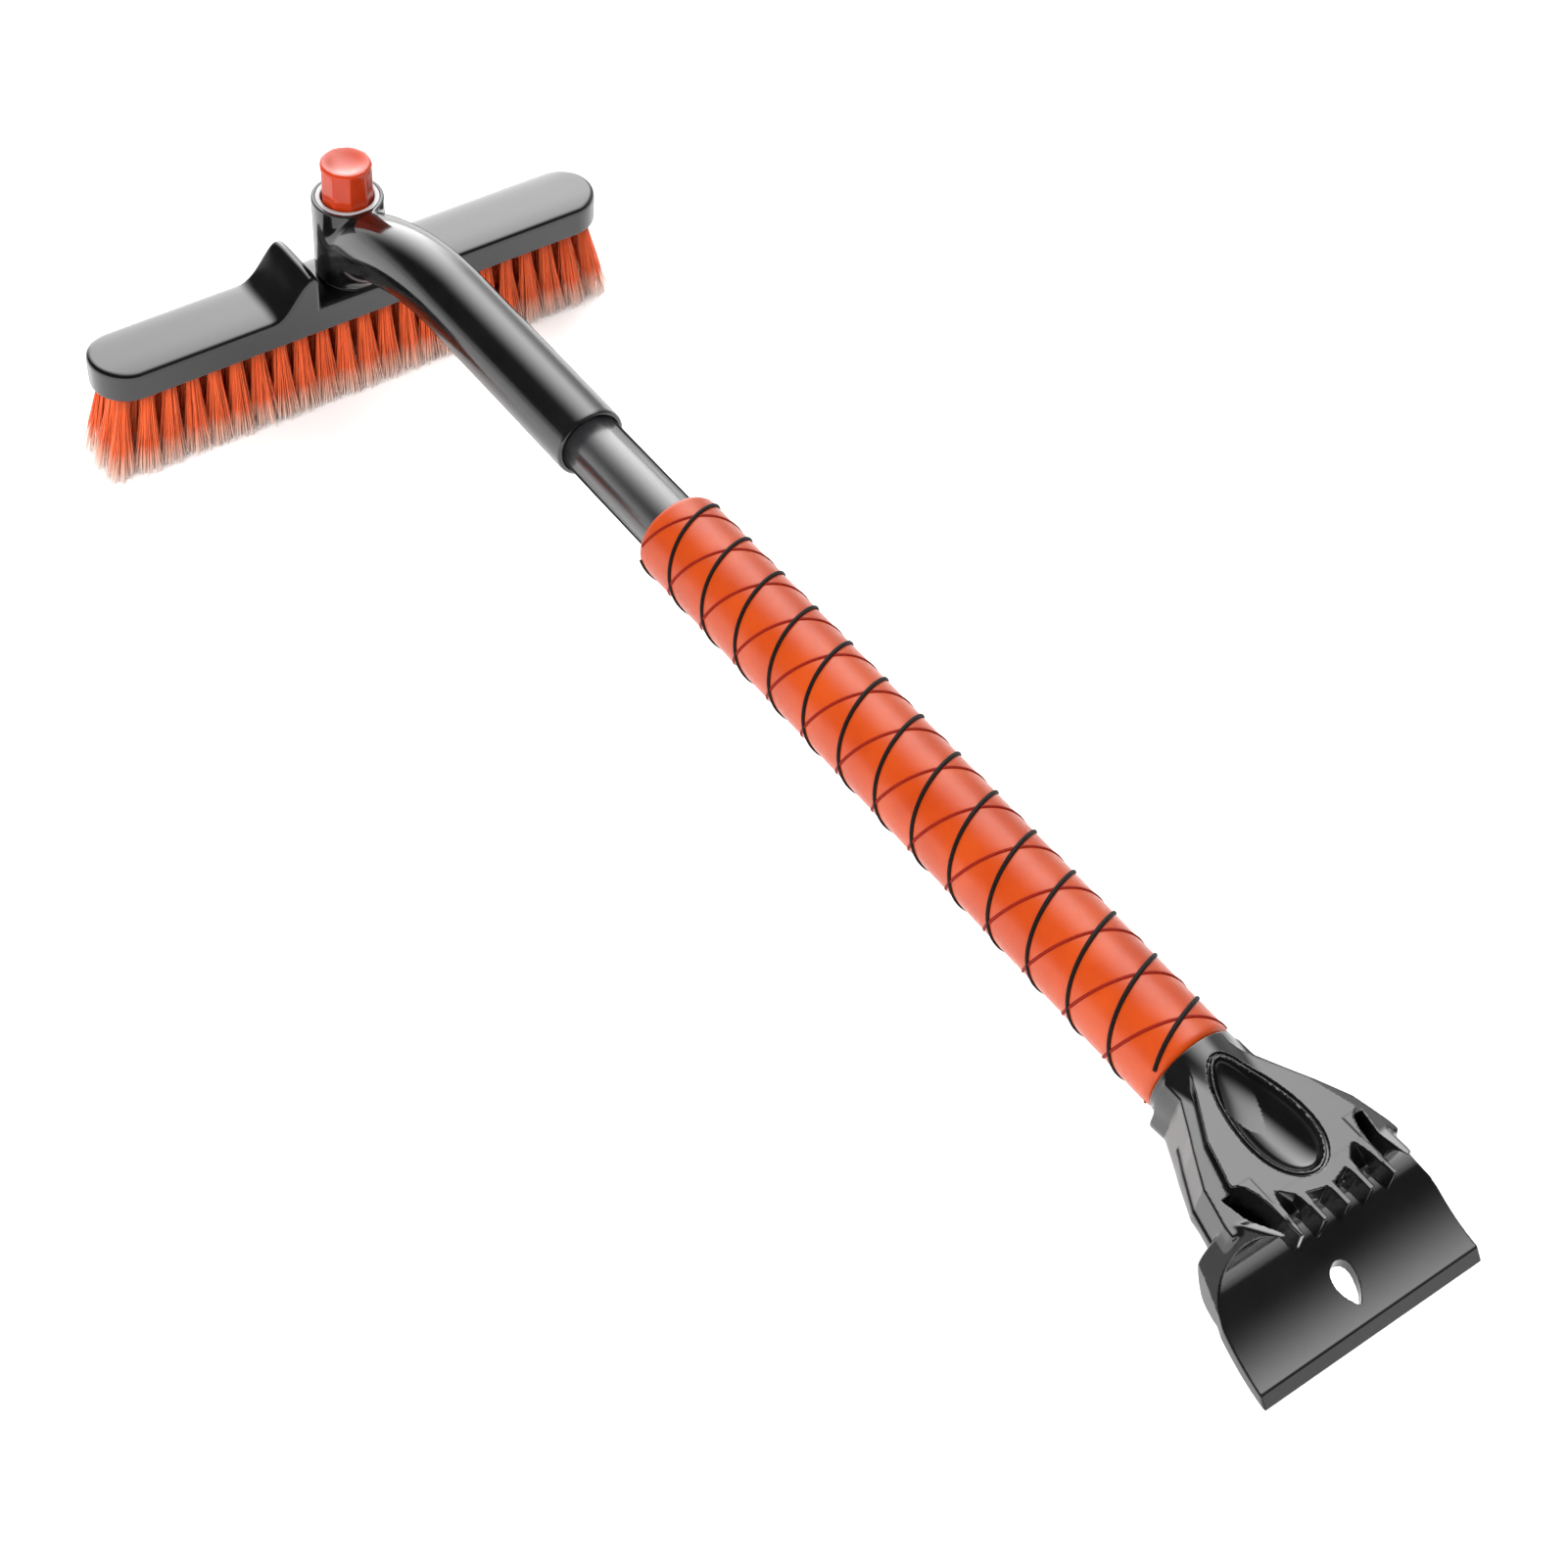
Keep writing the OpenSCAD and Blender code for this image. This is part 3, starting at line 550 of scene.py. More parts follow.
def brush_block():
    low = (BLOCK_X - BLOCK_R - MARGIN, -BLOCK_LEN / 2 - 2, BRISTLE_LEN - 1)
    high = (BLOCK_X + BLOCK_R + MARGIN, BLOCK_LEN / 2 + 2, BLOCK_TOP + RAMP_H + MARGIN)
    obj = field_mesh("brush_block_shell", block_field, low, high, 0.65)
    return place(obj, "brush", "black_plastic", "brush_block")


def tuft_y(i):
    """Place of a tuft along its row."""
    return (i - (TUFTS - 1) / 2) * TUFT_PITCH


def row_x(row, i=0):
    """Across the block, with the outer rows drawn in round its ends."""
    past = max(abs(tuft_y(i)) - END_CENTRE, 0)
    reach = min(ROW_GAP, math.sqrt(END_REACH ** 2 - past ** 2))
    return row * reach + (BLOCK_X if row else 0)


def filaments(centre_x, centre_y, lean_x, lean_y, count):
    """Centre lines of one tuft's filaments: count x steps x 3, fanning out from the root."""
    steps = np.linspace(0, 1, 7)
    turn = rng.uniform(0, 2 * math.pi, count)
    spread = np.sqrt(rng.uniform(0, 1, count))
    root = np.stack([np.cos(turn), np.sin(turn)], 1) * (spread * TUFT_R)[:, None]
    spread_out = np.stack([rng.uniform(1.8, 2.4, count), rng.uniform(2.3, 3.1, count)], 1)
    tip = root * spread_out + rng.normal(0, 0.75, (count, 2))
    drop = BRISTLE_LEN + ROOT_DEPTH - rng.uniform(0.0, 1.9, count) ** 1.5
    lean = np.tan(np.radians([lean_x, lean_y])) * BRISTLE_LEN
    t = steps[None, :, None]
    flat = root[:, None] + (tip - root)[:, None] * t ** 1.3 + lean * t
    wave = rng.normal(0, 0.28, (count, 1, 2))
    wave = wave * np.sin(t * rng.uniform(5, 9, (count, 1, 1)) + turn[:, None, None])
    flat = flat + wave * t
    z = BRISTLE_LEN + ROOT_DEPTH - drop[:, None] * steps
    points = np.concatenate([flat + np.array([centre_x, centre_y]), z[..., None]], 2)
    return points, steps


def strand_mesh(lines, along, radius):
    """Three-sided strands along many lines: vertices, faces and how far along each vertex is."""
    n, steps, _ = lines.shape
    a = np.radians([90, 210, 330])
    ring = np.stack([np.cos(a), np.sin(a), np.zeros(3)], 1)
    shrink = radius * (1 - 0.35 * along ** 3)
    verts = lines[:, :, None] + ring[None, None] * shrink[None, :, None, None]
    base = np.arange(n)[:, None, None] * steps * 3 + np.arange(steps - 1)[None, :, None] * 3
    s = np.arange(3)[None, None]
    e = (s + 1) % 3
    faces = np.stack([base + e, base + s, base + s + 3, base + e + 3], -1).reshape(-1, 4)
    value = np.broadcast_to(along[None, :, None], (n, steps, 3))
    return verts.reshape(-1, 3), faces, value.reshape(-1)


def tuft_row(name, row, node):
    """One row of tufts, with the end ones leaning outwards; row is -1, 0 or 1 across the block."""
    lines = []
    for i in range(TUFTS):
        side = 2 * i / (TUFTS - 1) - 1
        lean_y = side * (1.5 + 8.5 * side ** 4)
        points, steps = filaments(row_x(row, i), tuft_y(i), 3 * row, lean_y, FILAMENTS)
        lines.append(points)
    verts, faces, along = strand_mesh(np.concatenate(lines), steps, FILAMENT_R)
    obj = mesh_object(name, verts, faces)
    attribute = obj.data.attributes.new("along", "FLOAT", "POINT")
    attribute.data.foreach_set("value", along.astype(np.float32))
    return place(obj, "brush", "bristle", node)


def brush_head():
    brush_block()
    tuft_row("front_bristles", 1, "front_tufts")
    tuft_row("middle_bristles", 0, "middle_tufts")
    tuft_row("rear_bristles", -1, "rear_tufts")


# ---------- arm and button ----------

def arm_field(x, y, z):
    """The barrel and the curved neck with its finger hollows, bored for the lock and the tube."""
    bend = np.hypot(np.hypot(x - BEND_X, z - BEND_Z) - BEND_R, y) - ARM_R
    straight = np.hypot(y, z - SHAFT_Z) - ARM_R
    arm = np.where(x < BEND_X, bend, straight)
    arm = np.maximum(arm, -x)
    arm = meet(arm, x - ARM_REACH, 1.6)
    turn = np.hypot(x, y)
    barrel = meet(turn - BARREL_R, z - BARREL_TOP, 0.8)
    body = join(arm, barrel, 3.0)
    body = meet(body, BARREL_BOTTOM - z, 0.8)
    relief = meet(RAMP_CLEAR_R - turn, z - (BLOCK_TOP + RAMP_H + 1.2), 1.0)
    body = carve(body, relief, 1.5)
    for i in range(FINGERS):
        a = math.radians(FINGER_FIRST + FINGER_STEP * i)
        cx = BEND_X - math.sin(a) * (BEND_R - FINGER_DROP)
        cz = BEND_Z + math.cos(a) * (BEND_R - FINGER_DROP)
        body = carve(body, np.hypot(x - cx, z - cz) - FINGER_R, 3.0)
    socket = np.maximum(np.hypot(y, z - SHAFT_Z) - TUBE_R - SOCKET_GAP, SOCKET_FLOOR - x)
    body = carve(body, socket, 0.5)
    cavity = np.maximum(turn - CAVITY_R, BARREL_FLOOR - z)
    cavity = np.minimum(cavity, np.maximum(turn - CAP_RING_R, BARREL_TOP - CAP_RING_H - z))
    return carve(body, np.minimum(cavity, turn - POST_HOLE_R), 0.4)


def arm():
    reach = BARREL_R + MARGIN
    low = (-reach, -reach, BARREL_BOTTOM - MARGIN)
    high = (ARM_REACH + MARGIN, reach, SHAFT_Z + reach)
    obj = field_mesh("arm_shell", arm_field, low, high, 0.6)
    return place(obj, "arm", "black_plastic", "arm_casting")


def cap_ring():
    inner, outer, r = BUTTON_R + 0.45, CAP_RING_R - 0.05, 0.6
    low, high = BARREL_TOP - CAP_RING_H, BARREL_TOP
    profile = [(inner, low), (outer, low)]
    profile += round_corner(outer - 0.3, high - 0.3, 0.3, 0, 90)
    profile += round_corner(inner + r, high - r, r, 90, 180)
    obj = revolve("barrel_ring", profile, 128, upright)
    return place(obj, "arm", "grey_plastic", "barrel_cap_ring")


def button_field(x, y, z):
    """The faceted button, dished on top, over a round flange."""
    turn = np.hypot(x, y)
    slice_angle = 2 * math.pi / BUTTON_SIDES
    a = np.arctan2(y, x)
    a = (a + slice_angle / 2) % slice_angle - slice_angle / 2
    facet = turn * np.cos(a) - BUTTON_R * math.cos(slice_angle / 2) * 1.01
    stem = meet(facet, turn - BUTTON_R, 0.25)
    collar = turn - (BUTTON_R - 0.1)
    cap = BUTTON_TOP - 2.4
    stem = np.where(z > cap, join(collar, stem, 0.6), stem)
    top = z - BUTTON_TOP
    dish = np.sqrt(turn ** 2 + (z - (BUTTON_TOP + DISH_RISE)) ** 2) - DISH_R
    body = carve(meet(stem, top, 1.8), dish, 0.8)
    flange = np.maximum(np.maximum(turn - FLANGE_R, FLANGE_LOW - z), z - (FLANGE_LOW + FLANGE_H))
    body = np.minimum(np.maximum(body, FLANGE_LOW - z), flange)
    return carve(body, np.maximum(turn - BUTTON_HOLLOW_R, z - (BUTTON_TOP - BUTTON_WALL)), 0.3)


def button():
    reach = FLANGE_R + 0.8
    low, high = (-reach, -reach, FLANGE_LOW - 0.8), (reach, reach, BUTTON_TOP + 0.8)
    obj = field_mesh("push_button", button_field, low, high, 0.3)
    return place(obj, "button", "orange_plastic", "release_button")


def lock_spring():
    """Wire coil with closed ends, held under the lock ring."""
    steps, sides = 36, 10
    turn = np.linspace(0, SPRING_TURNS, SPRING_TURNS * steps + 1)[:, None]
    rise = np.clip((turn - SPRING_CLOSED) / (SPRING_TURNS - 2 * SPRING_CLOSED), 0, 1)
    round_wire = np.linspace(0, 2 * math.pi, sides, endpoint=False)
    r = SPRING_R + WIRE_R * np.cos(round_wire)
    z = SPRING_LOW + WIRE_R + (SPRING_HIGH - SPRING_LOW - 2 * WIRE_R) * rise + WIRE_R * np.sin(round_wire)
    a = 2 * math.pi * turn
    verts = np.stack([r * np.cos(a), r * np.sin(a), z], -1).reshape(-1, 3)
    last = len(turn) * sides - sides
    caps = [list(range(sides)), [last + i for i in reversed(range(sides))]]
    body = grid_faces(len(turn), sides)[:, ::-1].tolist()
    obj = mesh_object("lock_coil", verts, body + caps)
    place(obj, "button", "spring_steel", "lock_spring")
    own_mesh(obj)
    return obj


# ---------- shaft and grip ----------

def shaft():
    inner = TUBE_R - TUBE_WALL
    end = GRIP_END - 0.5
    profile = [(inner, end), (inner, TUBE_START), (TUBE_R - 0.4, TUBE_START)]
    profile += [(TUBE_R, TUBE_START + 0.4), (TUBE_R, end)]
    obj = revolve("shaft_tube_shell", profile[::-1], 128, along_shaft)
    return place(obj, "handle", "black_tube", "shaft_tube")


def lace_angle(x, hand, phase):
    """Angle round the grip of one strand at a distance x along it, in radians."""
    return phase + hand * 2 * math.pi * (LACING_PITCHES / 2) * x / GRIP_LEN


def lace_phases(hand):
    """Start angles of the two strands of one hand; the strands cross a shift before each whole pitch."""
    start = hand * 2 * math.pi * (LACING_PITCHES / 2) * LACING_SHIFT / GRIP_LEN
    return start, start + math.pi


def wrapped(angle):
    """The same angle between minus and plus half a turn."""
    return (angle + math.pi) % (2 * math.pi) - math.pi


def grip_radius(x, angle):
    """Radius of the cover: pressed in a little under every strand of the lacing."""
    lean = (LACING_PITCHES / 2) * 2 * math.pi / GRIP_LEN
    press = np.zeros(np.broadcast(x, angle).shape)
    for hand in (1, -1):
        for phase in lace_phases(hand):
            off = wrapped(angle - lace_angle(x, hand, phase)) / math.hypot(lean, 1 / GRIP_R)
            press = np.maximum(press, np.exp(-(off / LACING_PRESS_W) ** 2))
    into_edge = np.maximum(GRIP_EDGE - np.minimum(x, GRIP_LEN - x), 0)
    rounding = GRIP_EDGE - np.sqrt(np.maximum(GRIP_EDGE ** 2 - into_edge ** 2, 0))
    return GRIP_R - LACING_PRESS * press - rounding


def grip():
    sides = 128
    edge = GRIP_EDGE * (1 - np.cos(np.linspace(0, math.pi / 2, 8)))[:-1]
    middle = np.linspace(GRIP_EDGE, GRIP_LEN - GRIP_EDGE, 400)
    x = np.concatenate([edge, middle, (GRIP_LEN - edge)[::-1]])
    angle = np.linspace(0, 2 * math.pi, sides, endpoint=False)

    def rings(places, r):
        """Circles round the shaft at some places along it."""
        where = np.broadcast_to(places[:, None], r.shape)
        return np.stack([where, r * np.sin(angle), SHAFT_Z + r * np.cos(angle)], -1)

    outer = rings(GRIP_START + x, grip_radius(x[:, None], angle[None]))
    hole = np.full((1, sides), TUBE_R + 0.02)
    ends = [rings(np.array([end]), hole) for end in (GRIP_START, GRIP_END)]
    verts = np.concatenate([ends[0], outer, ends[1]]).reshape(-1, 3)
    obj = mesh_object("grip_skin", verts, grid_faces(len(x) + 2, sides)[:, ::-1])
    place(obj, "handle", "grip_leather", "grip_cover")
    return obj


def lace_line(hand, phase, lift):
    """Centre line of one strand, which stands higher above and below the grip than beside it."""
    x = np.linspace(LACING_MARGIN, GRIP_LEN - LACING_MARGIN, 1000)
    a = lace_angle(x, hand, phase)
    beside = 0.5 - 0.5 * np.cos(2 * a)
    r = GRIP_R - LACING_PRESS + lift * (1 - beside * 0.6)
    return np.stack([GRIP_START + x, r * np.sin(a), SHAFT_Z + r * np.cos(a)], -1)


def tube_along(line, width, height, sides=8):
    """An oval tube along a line on the grip; its height points away from the shaft."""
    forward = np.gradient(line, axis=0)
    forward /= np.linalg.norm(forward, axis=1)[:, None]
    out = line - np.array([0, 0, SHAFT_Z])
    out[:, 0] = 0
    out /= np.linalg.norm(out, axis=1)[:, None]
    across = np.cross(forward, out)
    a = np.linspace(0, 2 * math.pi, sides, endpoint=False)
    rings = (line[:, None] + across[:, None] * (np.cos(a) * width / 2)[None, :, None]
             + out[:, None] * (np.sin(a) * height / 2)[None, :, None])
    verts = rings.reshape(-1, 3)
    faces = grid_faces(len(line), sides).tolist()
    last = (len(line) - 1) * sides
    caps = [list(range(sides))[::-1], [last + i for i in range(sides)]]
    return verts, [f[::-1] for f in faces + caps]


def lacing(name, hand, lift, width, height, slot, node):
    """Both strands of one hand of the lacing."""
    verts, faces = [], []
    for phase in lace_phases(hand):
        v, f = tube_along(lace_line(hand, phase, lift), width, height)
        faces += [[i + sum(map(len, verts)) for i in face] for face in f]
        verts.append(v)
    obj = mesh_object(name, np.concatenate(verts), faces)
    return place(obj, "handle", slot, node)


# ---------- scraper ----------

# s runs from the grip's end along the head, h across it and v up from the shaft's axis
NECK_R = 18.3
NECK_END_R = 14.0
NECK_LEN = 34.0
DECK_Z = 14.0
DECK_EDGE_S = (4, 14, 30, 46.5)
DECK_EDGE_HALF = (8.0, 13.4, 22.8, 28.0)
SHELF_S = (0, 11, 23, 28, 41, 55, 60)
SHELF_HALF = (16.5, 16.8, 23.5, 26.5, 33.5, 37.0, 37.5)
SHELF_DROP = 4.0
SHELF_Z = DECK_Z - SHELF_DROP
SHELF_TILT = 0.12           # fall of the shelf towards its edge
SIDE_TILT = 0.08            # lean of the side walls
UNDER_START = -17.8         # the underside at the grip, and where it levels out
UNDER_LEVEL = -11.0
UNDER_RUN = 46.0
RIB_START = 20.0
RIB_V = -3.5
RIB_R = 1.4
TOOTH_PITCH = 10.4
TOOTH_T = 2.2
TOOTH_TIP = 73.0
TOOTH_FLARE = 0.14          # widening of each tooth towards its root
TOOTH_ROOT = 67.0
WALL_TOP = 4.5
GAP_LOW = -4.0
GAP_START = 50.0            # the openings between the teeth: where they start, their slope, half width
GAP_SLOPE_AT = 66.0
GAP_HALF = 21.0
POCKET_START = 47.5         # the pockets beside the outer teeth: start, inner and outer sides, floor
POCKET_IN = 20.5
POCKET_OUT = 26.5
POCKET_LOW = 2.0
WING_TIP = 31.0
CURL_X = 76.0
CURL_Z = -2.0
CURL_R = 11.5
CURL_OUT = 22.0
LIP_START = 56.0
LIP_SLOPE = 0.53
HEEL_V = -19.4
END_LEAN = 0.62
BLADE_T = 4.2
PLATE_START = 64.0
BLADE_START = math.radians(42)
BLADE_BEND = 61.8
BEND_AT = (CURL_X + (BLADE_BEND - CURL_R) * math.sin(BLADE_START),
           CURL_Z + (BLADE_BEND - CURL_R) * math.cos(BLADE_START))
BEND_START = CURL_X - CURL_R * math.sin(BLADE_START)
TROUGH_R = 17.0
TROUGH_AT = (BEND_AT[0] - (BLADE_BEND - TROUGH_R) * math.sin(BLADE_START),
             BEND_AT[1] - (BLADE_BEND - TROUGH_R) * math.cos(BLADE_START))
BLADE_LOW = -29.8
HEAD_LEN = 100.0
BLADE_HALF = 50.0
HOLLOW_S = 32.5             # middle of the thumb hollow
HOLLOW_LEN = 48.5
HOLLOW_W = 22.6
HOLLOW_DEPTH = 8.8
GROOVE_OUT = 1.35           # the groove round the hollow: distance from its rim, half width, depth
GROOVE_HALF = 0.45
GROOVE_DEPTH = 1.1
HOLE_S = 81.0
HOLE_R = 4.7
HOLE_BOW_R = 12.5           # radius of the two arcs that meet in the hole's point


def outline(s, h, points):
    """Distance in plan from a shape with straight sides."""
    s, h = np.broadcast_arrays(s, h)
    nearest = np.full(s.shape, np.inf)
    inside = np.zeros(s.shape, bool)
    for (s0, h0), (s1, h1) in zip(points, points[1:] + points[:1]):
        run, rise = s1 - s0, h1 - h0
        t = np.clip(((s - s0) * run + (h - h0) * rise) / (run ** 2 + rise ** 2), 0, 1)
        nearest = np.minimum(nearest, (s - s0 - run * t) ** 2 + (h - h0 - rise * t) ** 2)
        crosses = (h0 > h) != (h1 > h)
        inside ^= crosses & (s - s0 < run * (h - h0) / (rise if rise else 1))
    return np.where(inside, -1, 1) * np.sqrt(nearest)


def both_sides(half):
    """A whole outline from its points on one side of the middle."""
    return half + [(s, -h) for s, h in reversed(half)]


DECK_OUTLINE = both_sides([
    *zip(DECK_EDGE_S, DECK_EDGE_HALF), (49, 25.0), (55.5, 17.4), (61, 12.0), (63.7, 3.0)
])
OUTER_TOOTH = [(44, 27.5), (46.5, 28.0), (49.5, 24.5), (54, 22.8), (60, 22.0), (TOOTH_TIP, 21.6),
               (TOOTH_TIP, 20.2), (61, 18.9), (55, 17.2), (44, 17)]


def neck_radius(s):
    """Radius of the tapering neck at a distance s from the grip."""
    return NECK_R + (NECK_END_R - NECK_R) * s / NECK_LEN


def top_height(s, h):
    """Height of the deck, or of the round neck where that stands above it."""
    return np.maximum(DECK_Z, np.sqrt(np.maximum(neck_radius(s) ** 2 - h ** 2, 0)))


def body_field(s, h, v):
    """The flaring body: round at the grip, then a deck with bevelled sides."""
    side = np.abs(h)
    edge = np.interp(s, DECK_EDGE_S, DECK_EDGE_HALF)
    ridge = np.interp(s, SHELF_S, SHELF_HALF)
    shelf = (v - SHELF_Z + (side - edge) * SHELF_TILT) / math.hypot(1, SHELF_TILT)
    under = UNDER_START + (UNDER_LEVEL - UNDER_START) * np.clip(s / UNDER_RUN, 0, 1)
    body = meet(side - ridge - (SHELF_Z - v) * SIDE_TILT, shelf, 0.8)
    body = join(body, meet(side - edge, v - DECK_Z, 0.5), 0.3)
    body = meet(body, under - v, 6.0)
    rib = np.hypot(side - ridge - 0.6, v - RIB_V) - RIB_R
    body = join(body, np.maximum(rib, RIB_START - s), 0.6)
    body = meet(meet(body, 3 - s, 1.0), s - 60, 2.0)
    neck = meet(np.hypot(h, v) - neck_radius(s), -s, 1.0)
    neck = np.maximum(neck, s - NECK_LEN)
    return join(neck, body, 2.0)


def half_width(s):
    """Half width of the blade at a distance s from the grip."""
    return np.interp(s, [54, 59, 67, 75, 100], [44, 45, 47, 49, BLADE_HALF])


def blade_field(s, h, v):
    """The curled blade: a thick wall round the trough, then the plate."""
    side = np.abs(h)
    ring = np.hypot(s - CURL_X, v - CURL_Z)
    wall = meet(ring - CURL_OUT, s - (TOOTH_TIP - 1.5), 0.6)
    lip = (v - SHELF_Z + 0.8 - (s - LIP_START) * LIP_SLOPE) / math.hypot(1, LIP_SLOPE)
    wall = meet(wall, lip, 0.8)
    wall = meet(wall, HEEL_V - v, 2.0)
    from_bend = np.hypot(s - BEND_AT[0], v - BEND_AT[1]) - BLADE_BEND
    plate = np.maximum(np.abs(from_bend - BLADE_T / 2) - BLADE_T / 2, PLATE_START - s)
    plate = meet(plate, (s - HEAD_LEN) * 0.8 + (v - BLADE_LOW) * 0.6, 0.4)
    body = join(wall, plate, 2.0)
    leaning_end = (side - WING_TIP - (DECK_Z - v) * END_LEAN) / math.hypot(1, END_LEAN)
    return meet(body, np.maximum(side - half_width(s), leaning_end), 0.8)


def gap_field(s, h, v):
    """The dark openings round the teeth: a slope between them, a deep pocket beside the outer ones."""
    side = np.abs(h)
    between = ((GAP_SLOPE_AT - s) + (WALL_TOP - v)) * math.sqrt(0.5)
    middle = np.maximum(np.maximum(between, side - GAP_HALF), GAP_START - s)
    pocket = np.maximum(side - POCKET_OUT - (TOOTH_TIP - 1 - s) * 0.2, POCKET_IN - side)
    pocket = np.maximum(pocket, np.maximum(POCKET_LOW - v, POCKET_START - s))
    return np.maximum(np.minimum(middle, pocket), GAP_LOW - v)


def teeth_field(s, h, v):
    """The deck's front: a plate with five teeth that reach out over the trough."""
    teeth = np.minimum(outline(s, h, DECK_OUTLINE), outline(s, np.abs(h), OUTER_TOOTH))
    for i in (-1, 0, 1):
        tooth = np.abs(h - i * TOOTH_PITCH) - TOOTH_T / 2 - np.maximum(TOOTH_ROOT - s, 0) * TOOTH_FLARE
        teeth = np.minimum(teeth, np.maximum(np.maximum(tooth, s - TOOTH_TIP), 40 - s))
    slab = meet(teeth, v - DECK_Z, 0.4)
    return np.maximum(slab, WALL_TOP - 1 - v)


def egg(s, h, centre, length, width):
    """An egg in plan, wider towards the blade: its level, 1 at the edge, and the distance from it."""
    u = (s - centre) / (length / 2)
    w = width / 2 * (1 + 0.27 * u)
    level = np.sqrt(u ** 2 + (h / w) ** 2) + 1e-6
    slope = np.sqrt((2 * u / length) ** 2 + (h / w ** 2) ** 2) / level + 1e-6
    return level, (level - 1) / slope


def scraper_field(x, y, z):
    """The whole scraper, with its thumb hollow and hanging hole."""
    s, h, v = x - GRIP_END, y, z - SHAFT_Z
    solid = join(body_field(s, h, v), blade_field(s, h, v), 1.2)
    solid = carve(solid, gap_field(s, h, v), 0.5)
    solid = carve(solid, np.hypot(s - TROUGH_AT[0], v - TROUGH_AT[1]) - TROUGH_R, 0.4)
    solid = join(solid, teeth_field(s, h, v), 0.8)
    under_bend = np.hypot(s - BEND_AT[0], v - BEND_AT[1]) - BLADE_BEND
    solid = np.maximum(solid, -np.maximum(under_bend, np.maximum(BEND_START - s, v + 5)))
    level, rim = egg(s, h, HOLLOW_S, HOLLOW_LEN, HOLLOW_W)
    top = top_height(s, h)
    groove = np.maximum(np.abs(rim - GROOVE_OUT) - GROOVE_HALF, top - GROOVE_DEPTH - v)
    solid = carve(solid, groove, 0.3)
    bowl = HOLLOW_DEPTH * np.sqrt(np.maximum(1 - level ** 2, 0))
    solid = carve(solid, np.maximum(rim, top - bowl - v), 0.8)
    round_part = np.hypot(s - HOLE_S, h) - HOLE_R
    pointed_part = np.hypot(s - HOLE_S, np.abs(h) + HOLE_BOW_R - HOLE_R) - HOLE_BOW_R
    return carve(solid, np.where(s < HOLE_S, round_part, pointed_part), 0.15)


def scraper():
    low = (GRIP_END - 0.6, -BLADE_HALF - 1.2, SHAFT_Z + BLADE_LOW - 2.2)
    high = (GRIP_END + HEAD_LEN + 1.2, BLADE_HALF + 1.2, SHAFT_Z + 20)
    obj = field_mesh("scraper_shell", scraper_field, low, high, 0.6)
    return place(obj, "handle", "black_plastic", "scraper_head")


# ---------- what stays as packed ----------

def paint_cad_nodes():
    """Every CAD node that still shows takes the look of its own material slot."""
    for row in frame["record"]["subparts"]:
        node = frame["nodes"][row["node"]]
        node.data.materials.clear()
        node.data.materials.append(MATERIALS[row["material_slot"]])


# ---------- studio ----------

def floor():
    """Plain pale ground, wide enough to fill the view."""
    size = 12000
    corners = [(-size, -size, 0), (size, -size, 0), (size, size, 0), (-size, size, 0)]
    obj = mesh_object("studio_floor", corners, [(0, 1, 2, 3)])
    mat, tree, shader = material("floor", (0.88, 0.88, 0.88), 0.6)
    vary(tree, shader, "Base Color", object_noise(tree, 3), (0.87, 0.87, 0.87), (0.89, 0.89, 0.89))
    obj.data.materials.append(mat)


def soft_light(name, position, target, width, height, power):
    """A rectangular lamp that faces its target."""
    data = bpy.data.lights.new(name, "AREA")
    data.shape = "RECTANGLE"
    data.size, data.size_y = width, height
    data.energy = power
    obj = bpy.data.objects.new(name, data)
    obj.location = position
    obj.rotation_mode = "QUATERNION"
    obj.rotation_quaternion = (Vector(target) - Vector(position)).to_track_quat("-Z", "Y")
    bpy.context.scene.collection.objects.link(obj)
    return obj


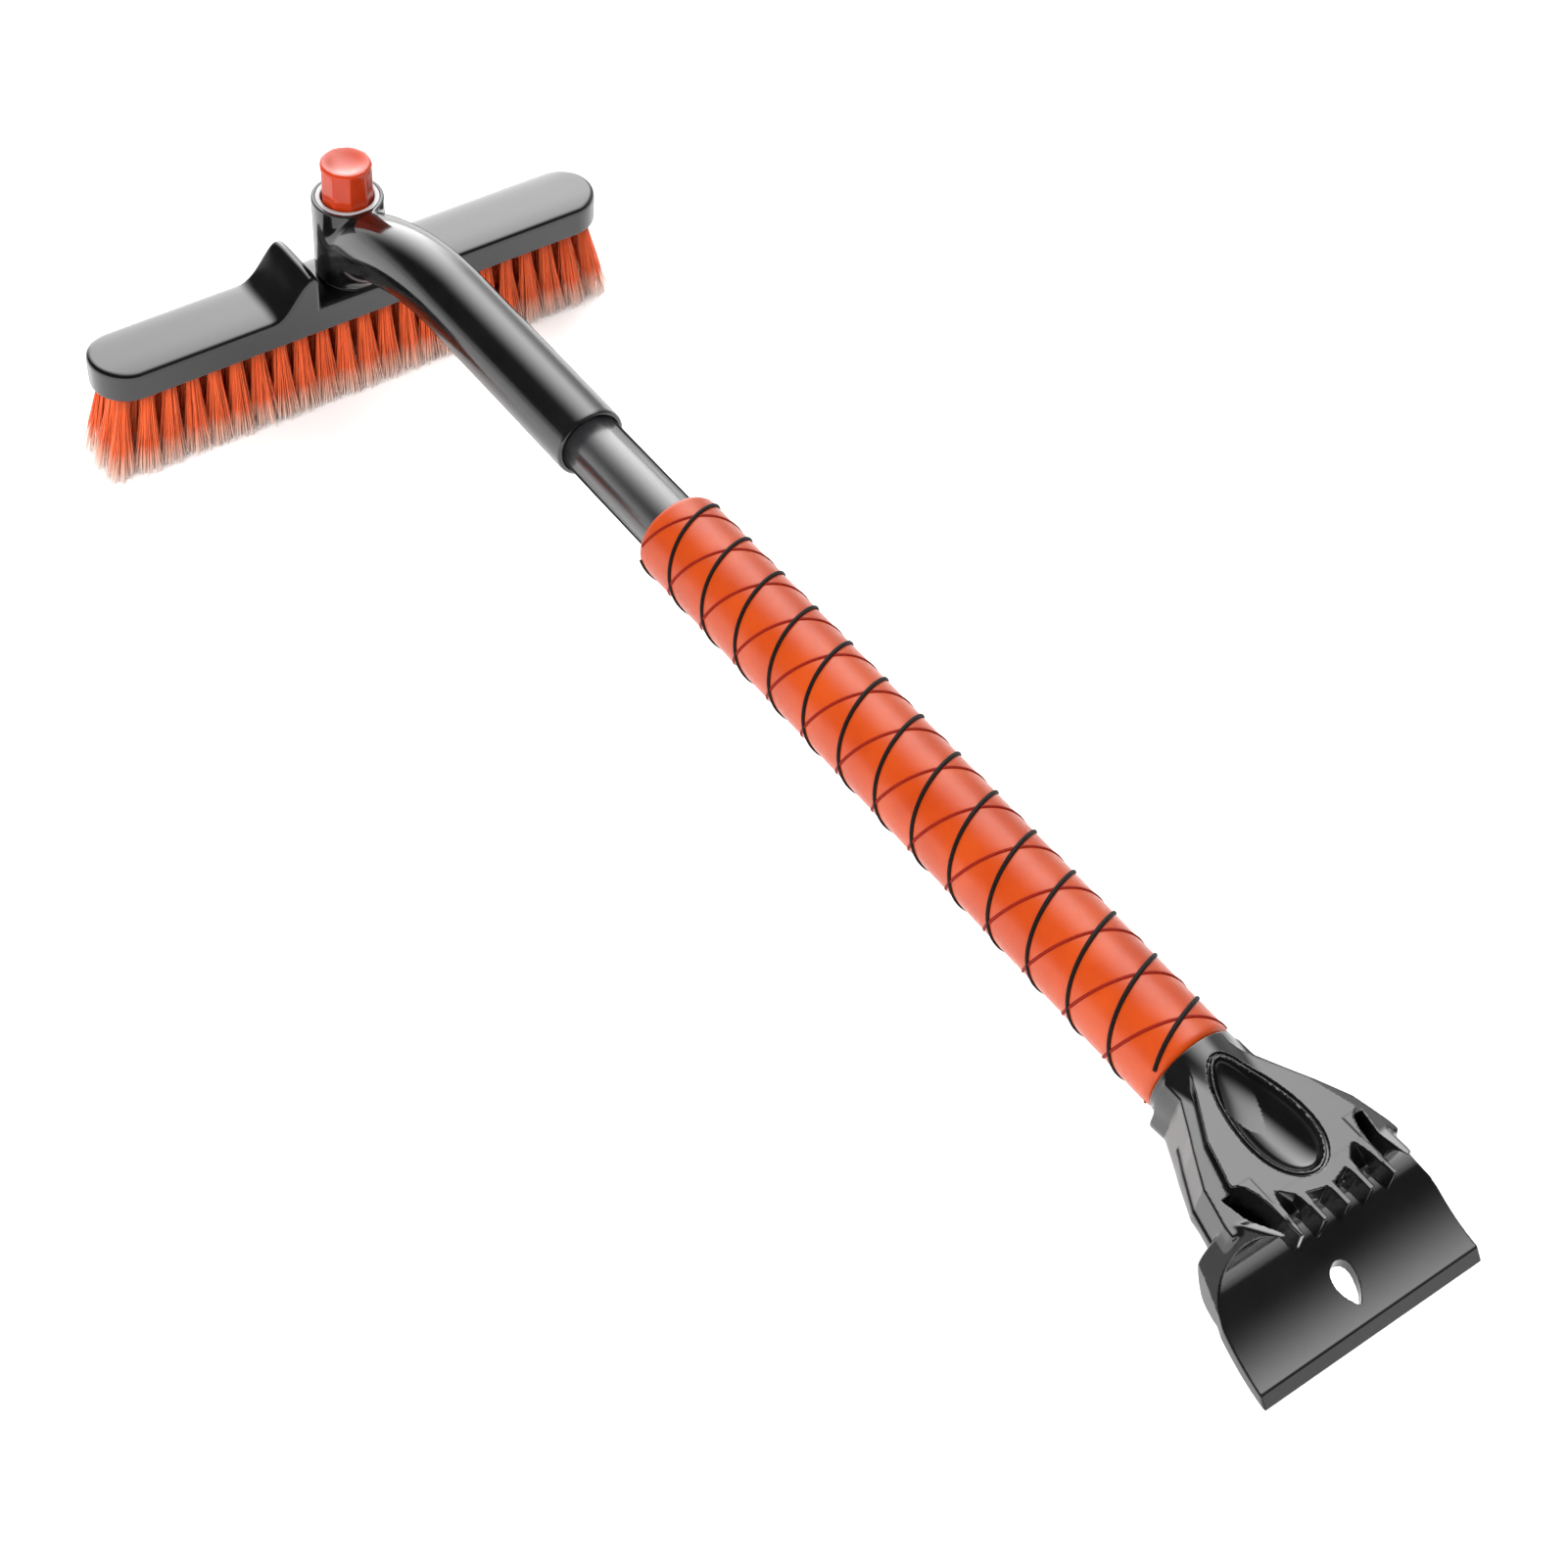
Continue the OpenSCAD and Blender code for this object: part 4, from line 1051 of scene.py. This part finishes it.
def sky():
    """A wide soft light: brightest overhead and beyond the brush, over a pale low backdrop."""
    world = bpy.data.worlds.new("studio")
    world.use_nodes = True
    tree = world.node_tree
    where = add_node(tree, "ShaderNodeTexCoord")
    split = add_node(tree, "ShaderNodeSeparateXYZ")
    tree.links.new(where.outputs["Generated"], split.inputs["Vector"])
    rising = map_range(tree, split.outputs["Y"], -0.4, 0.45, 0.0, 5.6)
    falling = map_range(tree, split.outputs["Y"], 0.47, 0.8, 1.0, 0.15)
    beyond = combine(tree, "MULTIPLY", rising, falling)
    sideways = map_range(tree, split.outputs["X"], -0.1, 0.72, 1.0, 0.02)
    backdrop = map_range(tree, split.outputs["Z"], 0.0, 0.22, 1.1, 0.03)
    light = combine(tree, "MAXIMUM", combine(tree, "MULTIPLY", beyond, sideways), backdrop)
    tree.links.new(light, tree.nodes["Background"].inputs["Color"])
    tree.nodes["Background"].inputs["Strength"].default_value = 1.0
    bpy.context.scene.world = world


def studio():
    floor()
    sky()
    target = (0.3, 0, 0.08)
    fill = soft_light("front_fill", (0.9, -1.6, 1.1), target, 2.0, 1.4, 72)
    fill.visible_glossy = False
    bpy.context.scene.view_settings.view_transform = "Standard"


def camera():
    """A long lens from above the scraper's side, looking down the shaft to the brush."""
    data = bpy.data.cameras.new("camera")
    data.sensor_width = 36
    data.lens = 61.8
    data.clip_start, data.clip_end = 0.05, 50
    obj = bpy.data.objects.new("camera", data)
    right = Vector((0.5884, 0.8049, 0.0768))
    forward = Vector((-0.4931, 0.4325, -0.7549)).normalized()
    right = (right - forward * right.dot(forward)).normalized()
    up = right.cross(forward)
    rotation = Matrix((right, up, -forward)).transposed()
    obj.matrix_world = Matrix.Translation((0.8623, -0.4624, 0.8382)) @ rotation.to_4x4()
    bpy.context.scene.collection.objects.link(obj)
    bpy.context.scene.camera = obj


paint_cad_nodes()
brush_head()
arm()
cap_ring()
button()
lock_spring()
shaft()
grip()
# inner strands: real cords lying low in the cover, their dark red colour is painted groove shade
lacing("inner_strands_painted_shade", 1, 0.12, 1.3, 0.9, "lacing_red", "inner_lacing")
lacing("black_lacing", -1, 0.55, 1.7, 1.2, "lacing_black", "outer_lacing")
scraper()
studio()
camera()
